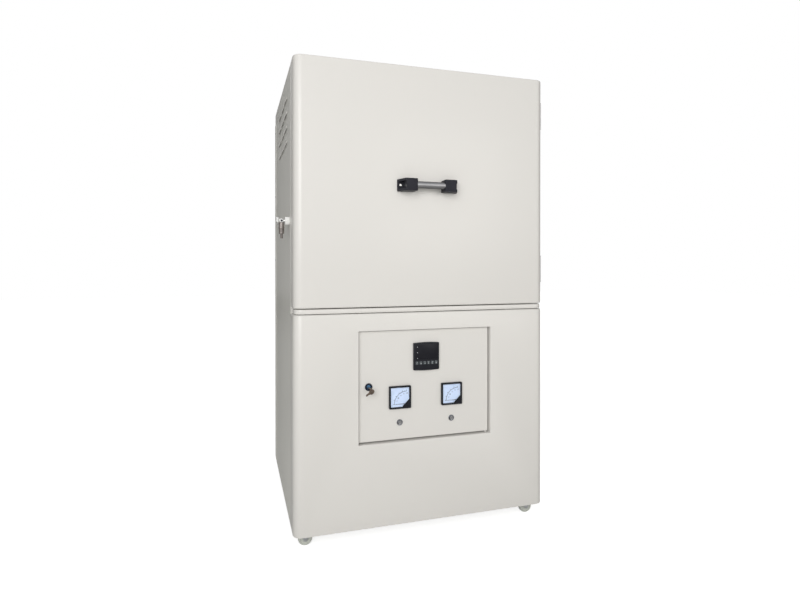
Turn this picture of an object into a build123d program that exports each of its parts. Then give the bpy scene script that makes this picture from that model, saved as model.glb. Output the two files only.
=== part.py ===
"""Floor-standing box muffle furnace: cabinet, side-hung door, control door, heating chamber, casters.

Frame: +Z up, +X to the right of someone facing the door, the door faces -Y.
Origin: on the floor under the middle of the cabinet. All sizes are in millimetres.
"""
import os
from math import cos, radians, sin

from build123d import *

os.makedirs("parts", exist_ok=True)

# ---------------------------------------------------------------- depth of the furnace
front_depth = 90.0             # depth of the door tray
door_seam = 8.0                # door tray to the cabinet body
mouth_plate = 5.0
chamber_depth = 450.0          # mouth plate to rear wall
insulation_rear = 130.0
shell_sheet = 2.0
rear_space = 105.0             # shell to the rear face, for the probe head and wiring

# ---------------------------------------------------------------- cabinet
cabinet_width = 940.0
cabinet_depth = front_depth + door_seam + mouth_plate + chamber_depth + insulation_rear + shell_sheet + rear_space
skirt_clearance = 52.0         # floor to the lower edge of the panels
lower_front_height = 743.0
front_gap = 21.5               # open slot between the lower front and the door
door_height = 848.0
corner_radius = 30.0           # upright front corners
edge_radius = 5.0              # level front edges
sheet = 2.0
body_drop = 6.0                # cabinet top below the door top
flange = 25.0                  # return flanges of the side panels

front_y = -cabinet_depth / 2
rear_y = cabinet_depth / 2
side_x = cabinet_width / 2
inner_x = side_x - sheet
lower_top = skirt_clearance + lower_front_height
door_bottom = lower_top + front_gap
door_top = door_bottom + door_height
door_middle = (door_bottom + door_top) / 2
door_back = front_y + front_depth
body_front = door_back + door_seam
body_top = door_top - body_drop

# ---------------------------------------------------------------- base pan and deck
pan_bottom = 66.0
pan_wall = 3.0
pan_height = 40.0
mouth_plate_drop = 40.0        # mouth plate below the top of the lower front
deck_plate = 3.0
deck_drop = 2.0                # deck surface below the lower front's top
rail_width = 45.0
rail_wall = 4.0

pan_top = pan_bottom + pan_height
mouth_back = body_front + mouth_plate
flange_front = mouth_back + sheet
panel_back = rear_y - sheet
deck_top = lower_top - deck_drop

# ---------------------------------------------------------------- side louvres
louvre_rows = 4
louvre_row_pitch = 54.0
louvre_top_row = 80.0          # below the cabinet top
louvre_length = 104.0
louvre_columns = 3
louvre_column_pitch = 120.0
louvre_height = 14.0
louvre_rise = 8.0
louvre_setback = 220.0         # first column from the front faces
louvre_skin = 1.4
louvre_root = 2.6              # skin measured down the panel at the hood's root

# ---------------------------------------------------------------- rear panel
rear_wrap = 65.0               # flange of the rear panel along the sides
rear_wrap_sheet = 1.5
rear_top_drop = 50.0
rear_bottom_rise = 12.0
rear_slots = 10
rear_slot_pitch = 26.0
rear_slot_length = 300.0
rear_slot_width = 8.0
rear_slot_columns = 2
rear_slot_column_pitch = 345.0
rear_slot_height = 1340.0      # middle of the slot block above the floor

# ---------------------------------------------------------------- furnace chamber
chamber_width = 400.0
chamber_height = 400.0         # hearth plate to roof
insulation_side = 150.0
insulation_floor_thickness = 140.0
insulation_roof_thickness = 130.0
hearth_thickness = 20.0
hearth_margin = 10.0
hearth_round = 6.0

hearth_top = door_middle - chamber_height / 2
chamber_top = hearth_top + chamber_height
floor_top = hearth_top - hearth_thickness
floor_bottom = floor_top - insulation_floor_thickness
roof_top = chamber_top + insulation_roof_thickness
chamber_back = mouth_back + chamber_depth
insulation_back = chamber_back + insulation_rear
insulation_half = chamber_width / 2 + insulation_side
shell_bottom = floor_bottom - shell_sheet
shell_top = roof_top + shell_sheet

# ---------------------------------------------------------------- heating elements
element_count = 3              # U-shaped rods on each side
element_end_gap = 20.0         # rows to the plug and the rear wall
element_wall_gap = 28.0        # rod axis to the chamber side wall
element_hot_radius = 4.5
element_cold_radius = 9.0
element_hot_length = 320.0
element_cold_drop = 15.0       # thick ends below the roof
element_hole_clearance = 0.5
collar_radius = 17.0
collar_height = 22.0
terminal_rise = 52.0           # rod ends above the shell
strap_width = 22.0
strap_thickness = 6.0
strap_level = 40.0             # strap underside above the shell

# ---------------------------------------------------------------- thermocouple
probe_radius = 8.0
probe_reach = 40.0             # sheath inside the chamber
probe_drop = 30.0              # sheath axis below the chamber roof
probe_clearance = 0.4
probe_neck_radius = 12.0
probe_neck_length = 20.0
probe_head_radius = 30.0
probe_head_height = 42.0
probe_head_round = 5.0
probe_tip_round = 4.8
probe_head_overlap = 4.0       # neck let into the head

# ---------------------------------------------------------------- furnace door
door_plate_sheet = 3.0
plug_gap = 7.0                 # plug to the chamber walls
plug_reach = 55.0              # plug behind the mouth plate's face
plug_taper = 5.0               # degrees
plug_backing = 60.0            # board inside the door tray
plug_backing_margin = 70.0
seal_width = 16.0
seal_offset = 22.0             # plug edge to the rope's inner edge
seal_gap = 0.4                 # left between rope and mouth plate
seal_round = 3.0

handle_length = 226.0
handle_height = 42.0
handle_standoff = 50.0
bracket_length = 63.0
bracket_front_length = 45.0
bracket_round = 6.0
bracket_pocket_width = 22.0
bracket_pocket_height = 24.0
bracket_pocket_floor = 8.0
bracket_web = 10.0             # between the tube's end and the pocket
tube_radius = 12.5
tube_wall = 2.0
tube_standoff = 35.5           # tube axis to the door face
tube_insert = 18.0

hinge_side_gap = 15.0          # hinge axis outside the cabinet side
knuckle_radius = 11.0
hinge_pin_radius = 6.0
hinge_clearance = 0.08
knuckle_height = 34.0
knuckle_gap = 0.6
leaf_thickness = 4.0
leaf_length = 62.0
leaf_stand_back = 9.0          # leaf edge to the hinge axis
leaf_web_reach = 8.8           # web's inner corner from the hinge axis
hinge_inset = 130.0            # hinge middle to the door's upper or lower edge
hinge_y = (door_back + body_front) / 2
hinge_x = side_x + hinge_side_gap

# ---------------------------------------------------------------- control door
opening_width = 495.0
opening_height = 390.0
opening_bottom = skirt_clearance + 291.0
jamb_depth = 38.0
leaf_recess = 15.0
leaf_depth = 16.0
leaf_gap_left = 2.0
leaf_gap_top = 2.0
leaf_gap_right = 4.0
leaf_gap_bottom = 4.0
pivot_inset = 6.0              # pivot axis from the leaf's right edge
pivot_depth = 6.0              # pivot axis behind the leaf's face
pivot_radius = 3.0
pivot_length = 7.0
pivot_clearance = 0.08
pivot_boss_radius = 5.0

opening_top = opening_bottom + opening_height
opening_middle = opening_bottom + opening_height / 2
face_y = front_y + leaf_recess
leaf_left = -opening_width / 2 + leaf_gap_left
leaf_right = opening_width / 2 - leaf_gap_right
leaf_bottom = opening_bottom + leaf_gap_bottom
leaf_top = opening_top - leaf_gap_top
pivot_x = leaf_right - pivot_inset
pivot_y = face_y + pivot_depth

# ---------------------------------------------------------------- temperature controller
controller_size = 96.0
controller_drop = 97.0         # middle of the controller below the opening's top
controller_z = opening_top - controller_drop
controller_bezel = 9.0
controller_bulge = 2.0
controller_case = 90.0
controller_case_depth = 75.0
cutout_clearance = 1.0
bezel_round = 2.0
window_width = 86.0
window_height = 55.0
window_depth = 3.0
window_round = 3.0
window_rise = 16.5             # window middle above the bezel middle
key_count = 6
key_width = 11.0
key_height = 12.0
key_pitch = 14.4
key_depth = 3.0
key_proud = 1.2
key_travel = 0.8
key_gap = 0.3
key_drop = 22.5                # key row below the bezel middle
key_round = 1.5
key_edge = 0.5

# ---------------------------------------------------------------- panel meters
meter_size = 80.0
meter_spacing = 196.0
meter_rise = 152.5             # middle of the meters above the opening's bottom
meter_z = opening_bottom + meter_rise
meter_bezel = 9.0
meter_frame = 5.0
meter_well = 6.0
meter_case = 74.0
meter_case_depth = 48.0
meter_corner = 36.0            # leg of the corner cover
meter_corner_plate = 1.6
meter_round = 3.0
needle_pivot_inset = 16.0      # pivot from the meter's right and lower edges
needle_length = 50.0
needle_width = 1.4
needle_thickness = 0.8
needle_hub_radius = 3.5
needle_hub_height = 2.4
needle_spindle_radius = 1.2
needle_spindle_clearance = 0.08
needle_spindle_length = 3.0
needle_float = 0.8             # hub above the dial
needle_lift = 0.6              # pointer above the hub's underside
needle_tip_share = 0.3         # tip width as a share of the root

# ---------------------------------------------------------------- push buttons
button_spacing = 196.0
button_rise = 63.0             # middle of the buttons above the opening's bottom
button_z = opening_bottom + button_rise
button_bezel_radius = 11.0
button_bezel_height = 3.0
button_barrel_radius = 8.0
button_barrel_length = 26.0
button_cap_radius = 6.5
button_cap_length = 8.0
button_cap_proud = 2.0
button_travel = 2.5
button_clearance = 0.08
button_bore_spare = 0.5        # bore beyond the cap's travel
button_bezel_round = 1.2
button_cap_round = 0.8

# ---------------------------------------------------------------- cam lock
lock_inset = 34.5              # lock axis to the leaf's left edge
lock_x = leaf_left + lock_inset
lock_z = opening_middle
lock_flange_radius = 13.5
lock_flange_height = 3.0
lock_flange_round = 1.2
lock_barrel_radius = 9.5
lock_plug_radius = 6.5
lock_clearance = 0.08
cam_width = 14.0
cam_catch = 14.5               # cam's hold behind the jamb
cam_thickness = 2.5
cam_gap = 1.5                  # cam behind the jamb's rear edge
cam_length = lock_inset + leaf_gap_left + sheet + cam_catch
key_bow_radius = 11.0
key_bow_thickness = 2.2
key_shank_width = 8.0
key_shank_length = 14.0
key_bow_hole = 4.0
key_bow_setting = 7.7          # bow's middle beyond the shank's end
key_hole_setting = 11.0
key_shank_insert = 2.0

# ---------------------------------------------------------------- side gas valve
valve_setback = 132.0          # from the front faces
valve_z = skirt_clearance + 1066.0
valve_nut_radius = 15.5
valve_nut_length = 16.0
valve_neck_length = 8.0
valve_neck_small = 4.5
valve_neck_large = 8.5
valve_outlet_radius = 9.5
valve_outlet_drop = 46.0
valve_barb_radius = 5.0
valve_barb_length = 16.0
valve_knob_radius = 13.0
valve_knob_length = 8.0
valve_knob_grips = 8
valve_knob_gap = 0.4
valve_grip_radius = 3.0
valve_grip_offset = 1.5        # grip middles outside the knob's rim
valve_outlet_inset = 3.3       # outlet axis beyond the neck's end
valve_stem_spare = 2.0
valve_stem_radius = 3.5
valve_stem_clearance = 0.08
valve_bore_radius = 2.5

# ---------------------------------------------------------------- rear fan and gland
fan_size = 120.0
fan_depth = 38.0
fan_bore_radius = 56.0
fan_z = 420.0
fan_hub_radius = 20.0
fan_blades = 7
fan_tip_gap = 2.0
fan_rotor_depth = 22.0
fan_spoke_width = 5.0
fan_spoke_thickness = 3.0
fan_shaft_radius = 3.0
fan_shaft_clearance = 0.08
fan_end_gap = 1.5
fan_shaft_gap = 0.5
fan_bore_floor = 2.0           # hub left closed at the inner end
fan_corner = 6.0
fan_rings = (0.55, 0.8)        # guard rings as shares of the bore
fan_ring_width = 3.0
fan_spoke_overlap = 4.0
fan_spokes = 4
fan_blade_sheet = 2.2
fan_blade_chord = 20.9
fan_blade_root = 3.0           # blade let into the hub
fan_blade_twist = (38, 24)     # degrees at the hub and at the tip
gland_x = -300.0
gland_z = 190.0
gland_nut_radius = 21.0
gland_nut_length = 12.0
gland_dome_radius = 16.0
gland_dome_length = 20.0
gland_bore_radius = 8.0
gland_thread_radius = 16.0
gland_thread_length = 8.0
gland_dome_round = 5.0

# ---------------------------------------------------------------- electrical parts inside
service_gap = 183.0            # core middle and heat sink face to the rear panel
transformer_x = -150.0
transformer_y = panel_back - service_gap
core_width = 300.0
core_height = 250.0
core_depth = 90.0
core_limb = 50.0
coil_wall = 34.0
coil_gap = 6.0
coil_round = 16.0
foot_height = 20.0
power_x = 200.0
power_y = panel_back - service_gap
sink_width = 160.0
sink_height = 180.0
sink_base = 12.0
sink_depth = 75.0
fin_count = 13
fin_thickness = 3.0
module_width = 95.0
module_height = 110.0
module_depth = 42.0
module_rise = 30.0
bracket_sheet = 4.0

# ---------------------------------------------------------------- casters
caster_side_inset = 59.0       # swivel axis to the cabinet side
caster_end_inset = 60.0        # swivel axis to the front or rear face
wheel_radius = 25.0
wheel_width = 21.0
wheel_round = 4.0
wheel_clearance = 0.08
wheel_dish = 3.0
wheel_tyre = 7.0
wheel_hub_radius = 9.0
axle_radius = 4.0
caster_trail = 14.0
caster_plate_size = 60.0
caster_plate = 4.0
kingpin_radius = 5.0
kingpin_clearance = 0.08
kingpin_head_radius = 8.0
kingpin_head = 2.4
fork_gap = 0.25
fork_disc_radius = 21.0
fork_sheet = 3.0
fork_wheel_gap = 1.5
fork_crown = 6.0
cheek_foot = 10.0              # cheek beyond the swivel and axle lines at the crown
axle_eye_radius = 8.0
axle_end = 1.5

caster_x = side_x - caster_side_inset
caster_y = cabinet_depth / 2 - caster_end_inset
caster_spots = {
    "front_left": (-caster_x, -caster_y),
    "front_right": (caster_x, -caster_y),
    "rear_left": (-caster_x, caster_y),
    "rear_right": (caster_x, caster_y),
}


def save(part, name):
    """Label a finished piece and write it as its own STEP file."""
    part.label = name
    export_step(part, f"parts/{name}.step")


def block(x_range, y_range, z_range, mode=Mode.ADD):
    """Box given by its extents, for use inside a part context."""
    sizes = [high - low for low, high in (x_range, y_range, z_range)]
    middle = [(high + low) / 2 for low, high in (x_range, y_range, z_range)]
    with Locations(tuple(middle)):
        Box(*sizes, mode=mode)


def facing(y):
    """Sketch plane at depth y whose local x is +X and local y is +Z; it extrudes towards -Y."""
    return Plane(origin=(0, y, 0), x_dir=(1, 0, 0), z_dir=(0, -1, 0))


# ================================================================ base pan
with BuildPart() as base_pan:
    block((-inner_x, inner_x), (front_y + sheet, panel_back), (pan_bottom, pan_top))
    upright = base_pan.edges().filter_by(Axis.Z).group_by(Axis.Y)[0]
    fillet(upright, corner_radius)
    pan_lip = pan_top - (pan_bottom + pan_wall)
    with BuildSketch(Plane.XY.offset(pan_bottom + pan_wall)):
        with Locations((0, (front_y + sheet + panel_back) / 2)):
            Rectangle(2 * (inner_x - pan_wall), panel_back - front_y - sheet - 2 * pan_wall)
    extrude(amount=pan_lip, mode=Mode.SUBTRACT)
    plate_bottom = pan_bottom - caster_plate
    pin_head_bottom = plate_bottom - fork_crown - 2 * fork_gap - kingpin_head
    with BuildSketch(Plane.XY.offset(plate_bottom)):
        with Locations(*caster_spots.values()):
            Rectangle(caster_plate_size, caster_plate_size)
    extrude(amount=caster_plate)
    with BuildSketch(Plane.XY.offset(pin_head_bottom)):
        with Locations(*caster_spots.values()):
            Circle(kingpin_radius)
    extrude(amount=plate_bottom - pin_head_bottom)
    with BuildSketch(Plane.XY.offset(pin_head_bottom)):
        with Locations(*caster_spots.values()):
            Circle(kingpin_head_radius)
    extrude(amount=kingpin_head)
save(base_pan.part, "base_pan")

# ================================================================ casters
fork_top = plate_bottom - fork_gap
fork_bottom = fork_top - fork_crown
cheek_inner = wheel_width / 2 + fork_wheel_gap

for spot, (swivel_x, swivel_y) in caster_spots.items():
    outward = 1 if swivel_x > 0 else -1
    axle_x = swivel_x + outward * caster_trail
    with BuildPart() as fork:
        with BuildSketch(Plane.XY.offset(fork_bottom)):
            with Locations((swivel_x, swivel_y)):
                Circle(fork_disc_radius)
            with Locations(((swivel_x + axle_x) / 2, swivel_y)):
                Rectangle(caster_trail + 2 * cheek_foot, 2 * (cheek_inner + fork_sheet))
            with Locations((swivel_x, swivel_y)):
                Circle(kingpin_radius + kingpin_clearance, mode=Mode.SUBTRACT)
        extrude(amount=fork_crown)
        for side in (-1, 1):
            with BuildSketch(facing(swivel_y + side * (cheek_inner + fork_sheet / 2))):
                with BuildLine():
                    Polyline(
                        (swivel_x - outward * cheek_foot, fork_bottom + fork_crown / 2),
                        (axle_x + outward * cheek_foot, fork_bottom + fork_crown / 2),
                        (axle_x + outward * axle_eye_radius, wheel_radius),
                        (axle_x - outward * axle_eye_radius, wheel_radius),
                        close=True,
                    )
                make_face()
                with Locations((axle_x, wheel_radius)):
                    Circle(axle_eye_radius)
            extrude(amount=fork_sheet / 2, both=True)
        axle_plane = Plane(origin=(axle_x, swivel_y, wheel_radius), x_dir=(1, 0, 0), z_dir=(0, -1, 0))
        with BuildSketch(axle_plane):
            Circle(axle_radius)
        extrude(amount=cheek_inner + fork_sheet + axle_end, both=True)
    save(fork.part, f"caster_fork_{spot}")

    with BuildPart() as wheel:
        with BuildSketch(axle_plane):
            Circle(wheel_radius)
            Circle(axle_radius + wheel_clearance, mode=Mode.SUBTRACT)
        extrude(amount=wheel_width / 2, both=True)
        rims = wheel.edges().filter_by(GeomType.CIRCLE).sort_by(SortBy.RADIUS)[-2:]
        fillet(rims, wheel_round)
        with BuildSketch(
            axle_plane.offset(wheel_width / 2),
            axle_plane.offset(-wheel_width / 2 + wheel_dish),
        ):
            Circle(wheel_radius - wheel_tyre)
            Circle(wheel_hub_radius, mode=Mode.SUBTRACT)
        extrude(amount=-wheel_dish, mode=Mode.SUBTRACT)
    save(wheel.part, f"caster_wheel_{spot}")

# ================================================================ lower front panel
with BuildPart() as lower_front:
    block((-side_x, side_x), (front_y, body_front), (skirt_clearance, lower_top))
    fillet(lower_front.edges().filter_by(Axis.Z).group_by(Axis.Y)[0], corner_radius)
    fillet(lower_front.faces().sort_by(Axis.Z)[-1].edges().group_by(Axis.Y)[0], edge_radius)
    back = lower_front.faces().sort_by(Axis.Y)[-1]
    underside = lower_front.faces().sort_by(Axis.Z)[0]
    offset(amount=-sheet, openings=[back, underside])
    opening_plane = facing(front_y + jamb_depth)
    with BuildSketch(opening_plane):
        with Locations((0, opening_middle)):
            Rectangle(opening_width + 2 * sheet, opening_height + 2 * sheet)
    extrude(amount=jamb_depth)
    with BuildSketch(opening_plane):
        with Locations((0, opening_middle)):
            Rectangle(opening_width, opening_height)
    extrude(amount=jamb_depth, mode=Mode.SUBTRACT)
    with BuildSketch(Plane.XY.offset(opening_bottom - sheet)):
        with Locations((pivot_x, pivot_y)):
            Circle(pivot_radius + pivot_clearance)
    extrude(amount=opening_height + 2 * sheet, mode=Mode.SUBTRACT)
save(lower_front.part, "lower_front_panel")


# ================================================================ side panels
def side_panel(side):
    """Sheet with return flanges and rows of pressed louvres; side is -1 for left, 1 for right."""
    outer = side * side_x
    inner = side * inner_x
    flange_end = side * (inner_x - flange)
    skin_x = sorted((outer, inner))
    flange_x = sorted((inner, flange_end))
    with BuildPart() as panel:
        block(skin_x, (body_front, panel_back), (skirt_clearance, body_top - sheet))
        block(flange_x, (mouth_back, panel_back), (pan_top, body_top - sheet))
        block(
            flange_x,
            (flange_front, panel_back - sheet),
            (pan_top, body_top - 2 * sheet),
            mode=Mode.SUBTRACT,
        )
        for row in range(louvre_rows):
            row_z = body_top - louvre_top_row - row * louvre_row_pitch
            for column in range(louvre_columns):
                middle_y = front_y + louvre_setback + louvre_length / 2 + column * louvre_column_pitch
                lower = row_z - louvre_height / 2
                block(
                    sorted((inner, outer)),
                    (middle_y - louvre_length / 2 + louvre_rise, middle_y + louvre_length / 2 - louvre_rise),
                    (lower, lower + louvre_height - louvre_skin),
                    mode=Mode.SUBTRACT,
                )
                hood = Plane(origin=(outer, middle_y, lower), x_dir=(side, 0, 0), z_dir=(0, -side, 0))
                with BuildSketch(hood):
                    with BuildLine():
                        Polyline((0, louvre_height), (louvre_rise, 0), (louvre_rise - louvre_skin, 0))
                        Polyline(
                            (louvre_rise - louvre_skin, 0),
                            (0, louvre_height - louvre_root),
                            (0, louvre_height),
                        )
                    make_face()
                extrude(amount=louvre_length / 2, both=True)
                for end in (-1, 1):
                    end_y = middle_y + end * (louvre_length / 2 - louvre_skin / 2)
                    cheek = Plane(origin=(outer, end_y, lower), x_dir=(side, 0, 0), z_dir=(0, -side, 0))
                    with BuildSketch(cheek):
                        with BuildLine():
                            Polyline((0, 0), (0, louvre_height), (louvre_rise, 0), close=True)
                        make_face()
                    extrude(amount=louvre_skin / 2, both=True)
    return panel.part


save(side_panel(-1), "side_panel_left")
save(side_panel(1), "side_panel_right")

# ================================================================ top panel
with BuildPart() as top_panel:
    block((-side_x, side_x), (body_front, rear_y), (body_top - sheet, body_top))
    block((-side_x, side_x), (panel_back, rear_y), (body_top - rear_top_drop, body_top - sheet))
save(top_panel.part, "top_panel")

# ================================================================ rear panel
rear_top = body_top - rear_top_drop
rear_bottom = skirt_clearance + rear_bottom_rise
with BuildPart() as rear_panel:
    block((-side_x, side_x), (panel_back, rear_y), (rear_bottom, rear_top))
    for side in (-1, 1):
        wrap_x = sorted((side * side_x, side * (side_x + rear_wrap_sheet)))
        block(wrap_x, (rear_y - rear_wrap, rear_y), (rear_bottom, rear_top))
    with BuildSketch(facing(rear_y)):
        with Locations((0, rear_slot_height)):
            with GridLocations(rear_slot_column_pitch, rear_slot_pitch, rear_slot_columns, rear_slots):
                SlotOverall(rear_slot_length, rear_slot_width)
        with Locations((0, fan_z)):
            Circle(fan_bore_radius)
        with Locations((gland_x, gland_z)):
            Circle(gland_thread_radius)
    extrude(amount=sheet, mode=Mode.SUBTRACT)
save(rear_panel.part, "rear_panel")

# ================================================================ mid deck with furnace rails
rail_x = insulation_half - rail_width
with BuildPart() as mid_deck:
    block((-inner_x, inner_x), (flange_front, panel_back - sheet), (deck_top - deck_plate, deck_top))
    for side in (-1, 1):
        middle_x = side * rail_x
        block(
            (middle_x - rail_width / 2, middle_x + rail_width / 2),
            (flange_front, insulation_back),
            (deck_top, shell_bottom),
        )
        block(
            (middle_x - rail_width / 2 + rail_wall, middle_x + rail_width / 2 - rail_wall),
            (flange_front, insulation_back),
            (deck_top, shell_bottom - rail_wall),
            mode=Mode.SUBTRACT,
        )
save(mid_deck.part, "mid_deck")

# ================================================================ mouth plate
with BuildPart() as mouth_frame:
    block((-inner_x, inner_x), (body_front, mouth_back), (lower_top - mouth_plate_drop, body_top - sheet))
    with BuildSketch(facing(mouth_back)):
        with Locations((0, door_middle)):
            Rectangle(chamber_width, chamber_height)
    extrude(amount=mouth_plate, mode=Mode.SUBTRACT)
save(mouth_frame.part, "mouth_frame")

# ================================================================ furnace shell and insulation
plug_tip = body_front + plug_reach
element_x = chamber_width / 2 - element_wall_gap
element_middle = (plug_tip + chamber_back) / 2
element_pitch = (chamber_back - plug_tip - 2 * element_end_gap) / element_count
element_leg_spacing = element_pitch / 2
element_legs = [
    element_middle + (index - (element_count - 1) / 2) * element_pitch + half * element_leg_spacing / 2
    for index in range(element_count)
    for half in (-1, 1)
]
leg_spots = [(side * element_x, leg_y) for side in (-1, 1) for leg_y in element_legs]
leg_hole_radius = element_cold_radius + element_hole_clearance
probe_z = chamber_top - probe_drop

with BuildPart() as furnace_shell:
    shell_half = insulation_half + shell_sheet
    block((-shell_half, shell_half), (mouth_back, insulation_back + shell_sheet), (shell_bottom, shell_top))
    block(
        (-insulation_half, insulation_half),
        (mouth_back, insulation_back),
        (floor_bottom, roof_top),
        mode=Mode.SUBTRACT,
    )
    with BuildSketch(Plane.XY.offset(roof_top)):
        with Locations(*leg_spots):
            Circle(leg_hole_radius)
    extrude(amount=shell_sheet, mode=Mode.SUBTRACT)
    with BuildSketch(facing(insulation_back + shell_sheet)):
        with Locations((0, probe_z)):
            Circle(probe_radius + probe_clearance)
    extrude(amount=shell_sheet, mode=Mode.SUBTRACT)
save(furnace_shell.part, "furnace_shell")

with BuildPart() as insulation_floor:
    block((-insulation_half, insulation_half), (mouth_back, insulation_back), (floor_bottom, floor_top))
save(insulation_floor.part, "insulation_floor")

with BuildPart() as insulation_roof:
    block((-insulation_half, insulation_half), (mouth_back, insulation_back), (chamber_top, roof_top))
    with BuildSketch(Plane.XY.offset(chamber_top)):
        with Locations(*leg_spots):
            Circle(leg_hole_radius)
    extrude(amount=insulation_roof_thickness, mode=Mode.SUBTRACT)
save(insulation_roof.part, "insulation_roof")

with BuildPart() as insulation_walls:
    block((-insulation_half, insulation_half), (mouth_back, insulation_back), (floor_top, chamber_top))
    block(
        (-chamber_width / 2, chamber_width / 2),
        (mouth_back, chamber_back),
        (floor_top, chamber_top),
        mode=Mode.SUBTRACT,
    )
    with BuildSketch(facing(insulation_back)):
        with Locations((0, probe_z)):
            Circle(probe_radius + probe_clearance)
    extrude(amount=insulation_rear, mode=Mode.SUBTRACT)
save(insulation_walls.part, "insulation_walls")

with BuildPart() as hearth_plate:
    hearth_half = chamber_width / 2 - hearth_margin
    block((-hearth_half, hearth_half), (plug_tip + hearth_margin, chamber_back), (floor_top, hearth_top))
    fillet(hearth_plate.edges().filter_by(Axis.Z), hearth_round)
save(hearth_plate.part, "hearth_plate")


# ================================================================ heating elements
def element_row(side):
    """Row of U-shaped rods hung from the roof, with their holders and series straps."""
    row_x = side * element_x
    hot_top = chamber_top - element_cold_drop
    bend_z = chamber_top - element_hot_length + element_leg_spacing / 2
    with BuildPart() as row:
        for index in range(element_count):
            near, far = element_legs[2 * index], element_legs[2 * index + 1]
            with BuildLine() as rod_path:
                Line((row_x, near, hot_top), (row_x, near, bend_z))
                ThreePointArc(
                    (row_x, near, bend_z),
                    (row_x, (near + far) / 2, bend_z - element_leg_spacing / 2),
                    (row_x, far, bend_z),
                )
                Line((row_x, far, bend_z), (row_x, far, hot_top))
            with BuildSketch(Plane(origin=(row_x, near, hot_top), z_dir=(0, 0, -1))):
                Circle(element_hot_radius)
            sweep(path=rod_path.wire())
        with BuildSketch(Plane.XY.offset(hot_top)):
            with Locations(*[(row_x, leg_y) for leg_y in element_legs]):
                Circle(element_cold_radius)
        extrude(amount=shell_top + terminal_rise - hot_top)
        with BuildSketch(Plane.XY.offset(shell_top)):
            with Locations(*[(row_x, leg_y) for leg_y in element_legs]):
                Circle(collar_radius)
        extrude(amount=collar_height)
        for first, second in zip(element_legs[1:-1:2], element_legs[2:-1:2]):
            block(
                (row_x - strap_width / 2, row_x + strap_width / 2),
                (first - strap_width / 2, second + strap_width / 2),
                (shell_top + strap_level, shell_top + strap_level + strap_thickness),
            )
        for leg_y in (element_legs[0], element_legs[-1]):
            block(
                (row_x - strap_width / 2, row_x + strap_width / 2),
                (leg_y - strap_width / 2, leg_y + strap_width / 2),
                (shell_top + strap_level, shell_top + strap_level + strap_thickness),
            )
    return row.part


save(element_row(-1), "heater_left")
save(element_row(1), "heater_right")

# ================================================================ thermocouple
shell_back = insulation_back + shell_sheet
with BuildPart() as thermocouple:
    with BuildSketch(facing(shell_back)):
        with Locations((0, probe_z)):
            Circle(probe_radius)
    extrude(amount=shell_back - chamber_back + probe_reach)
    tip = thermocouple.faces().sort_by(Axis.Y)[0]
    fillet(tip.edges(), probe_tip_round)
    with BuildSketch(facing(shell_back + probe_neck_length)):
        with Locations((0, probe_z)):
            Circle(probe_neck_radius)
    extrude(amount=probe_neck_length)
    with BuildSketch(Plane.XY.offset(probe_z - probe_head_height / 2)):
        with Locations((0, shell_back + probe_neck_length + probe_head_radius - probe_head_overlap)):
            Circle(probe_head_radius)
    extrude(amount=probe_head_height)
    fillet(thermocouple.faces().sort_by(Axis.Z)[-1].edges(), probe_head_round)
save(thermocouple.part, "thermocouple")

# ================================================================ furnace door
with BuildPart() as door_skin:
    block((-side_x, side_x), (front_y, door_back), (door_bottom, door_top))
    fillet(door_skin.edges().filter_by(Axis.Z).group_by(Axis.Y)[0], corner_radius)
    level_edges = door_skin.faces().sort_by(Axis.Z)[-1].edges().group_by(Axis.Y)[0]
    level_edges += door_skin.faces().sort_by(Axis.Z)[0].edges().group_by(Axis.Y)[0]
    fillet(level_edges, edge_radius)
    offset(amount=-sheet, openings=[door_skin.faces().sort_by(Axis.Y)[-1]])
save(door_skin.part, "door_skin")

plug_width = chamber_width - 2 * plug_gap
plug_height = chamber_height - 2 * plug_gap
with BuildPart() as door_back_plate:
    block(
        (-inner_x, inner_x),
        (door_back - door_plate_sheet, door_back),
        (door_bottom + sheet, door_top - sheet),
    )
    fillet(door_back_plate.edges().filter_by(Axis.Y), edge_radius - sheet)
    with BuildSketch(facing(door_back)):
        with Locations((0, door_middle)):
            Rectangle(plug_width, plug_height)
    extrude(amount=door_plate_sheet, mode=Mode.SUBTRACT)
save(door_back_plate.part, "door_back_plate")

with BuildPart() as door_plug:
    backing_y = door_back - door_plate_sheet
    backing_half_width = plug_width / 2 + plug_backing_margin
    backing_half_height = plug_height / 2 + plug_backing_margin
    block(
        (-backing_half_width, backing_half_width),
        (backing_y - plug_backing, backing_y),
        (door_middle - backing_half_height, door_middle + backing_half_height),
    )
    inward = Plane(origin=(0, backing_y, door_middle), x_dir=(1, 0, 0), z_dir=(0, 1, 0))
    with BuildSketch(inward):
        Rectangle(plug_width, plug_height)
    extrude(amount=door_plate_sheet)
    with BuildSketch(inward.offset(door_plate_sheet)):
        Rectangle(plug_width, plug_height)
    extrude(amount=door_seam + plug_reach, taper=plug_taper)
save(door_plug.part, "door_plug")

with BuildPart() as door_seal:
    with BuildSketch(Plane(origin=(0, door_back, door_middle), x_dir=(1, 0, 0), z_dir=(0, 1, 0))):
        outer_grow = 2 * (seal_offset + seal_width)
        RectangleRounded(plug_width + outer_grow, plug_height + outer_grow, seal_offset + seal_width)
        inner_grow = 2 * seal_offset
        RectangleRounded(plug_width + inner_grow, plug_height + inner_grow, seal_offset, mode=Mode.SUBTRACT)
    extrude(amount=door_seam - seal_gap)
    rope_edges = door_seal.faces().sort_by(Axis.Y)[-1].edges()
    fillet(rope_edges, seal_round)
save(door_seal.part, "door_seal")

# ================================================================ door handle
tube_y = front_y - tube_standoff
bracket_inner = handle_length / 2 - bracket_length


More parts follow.
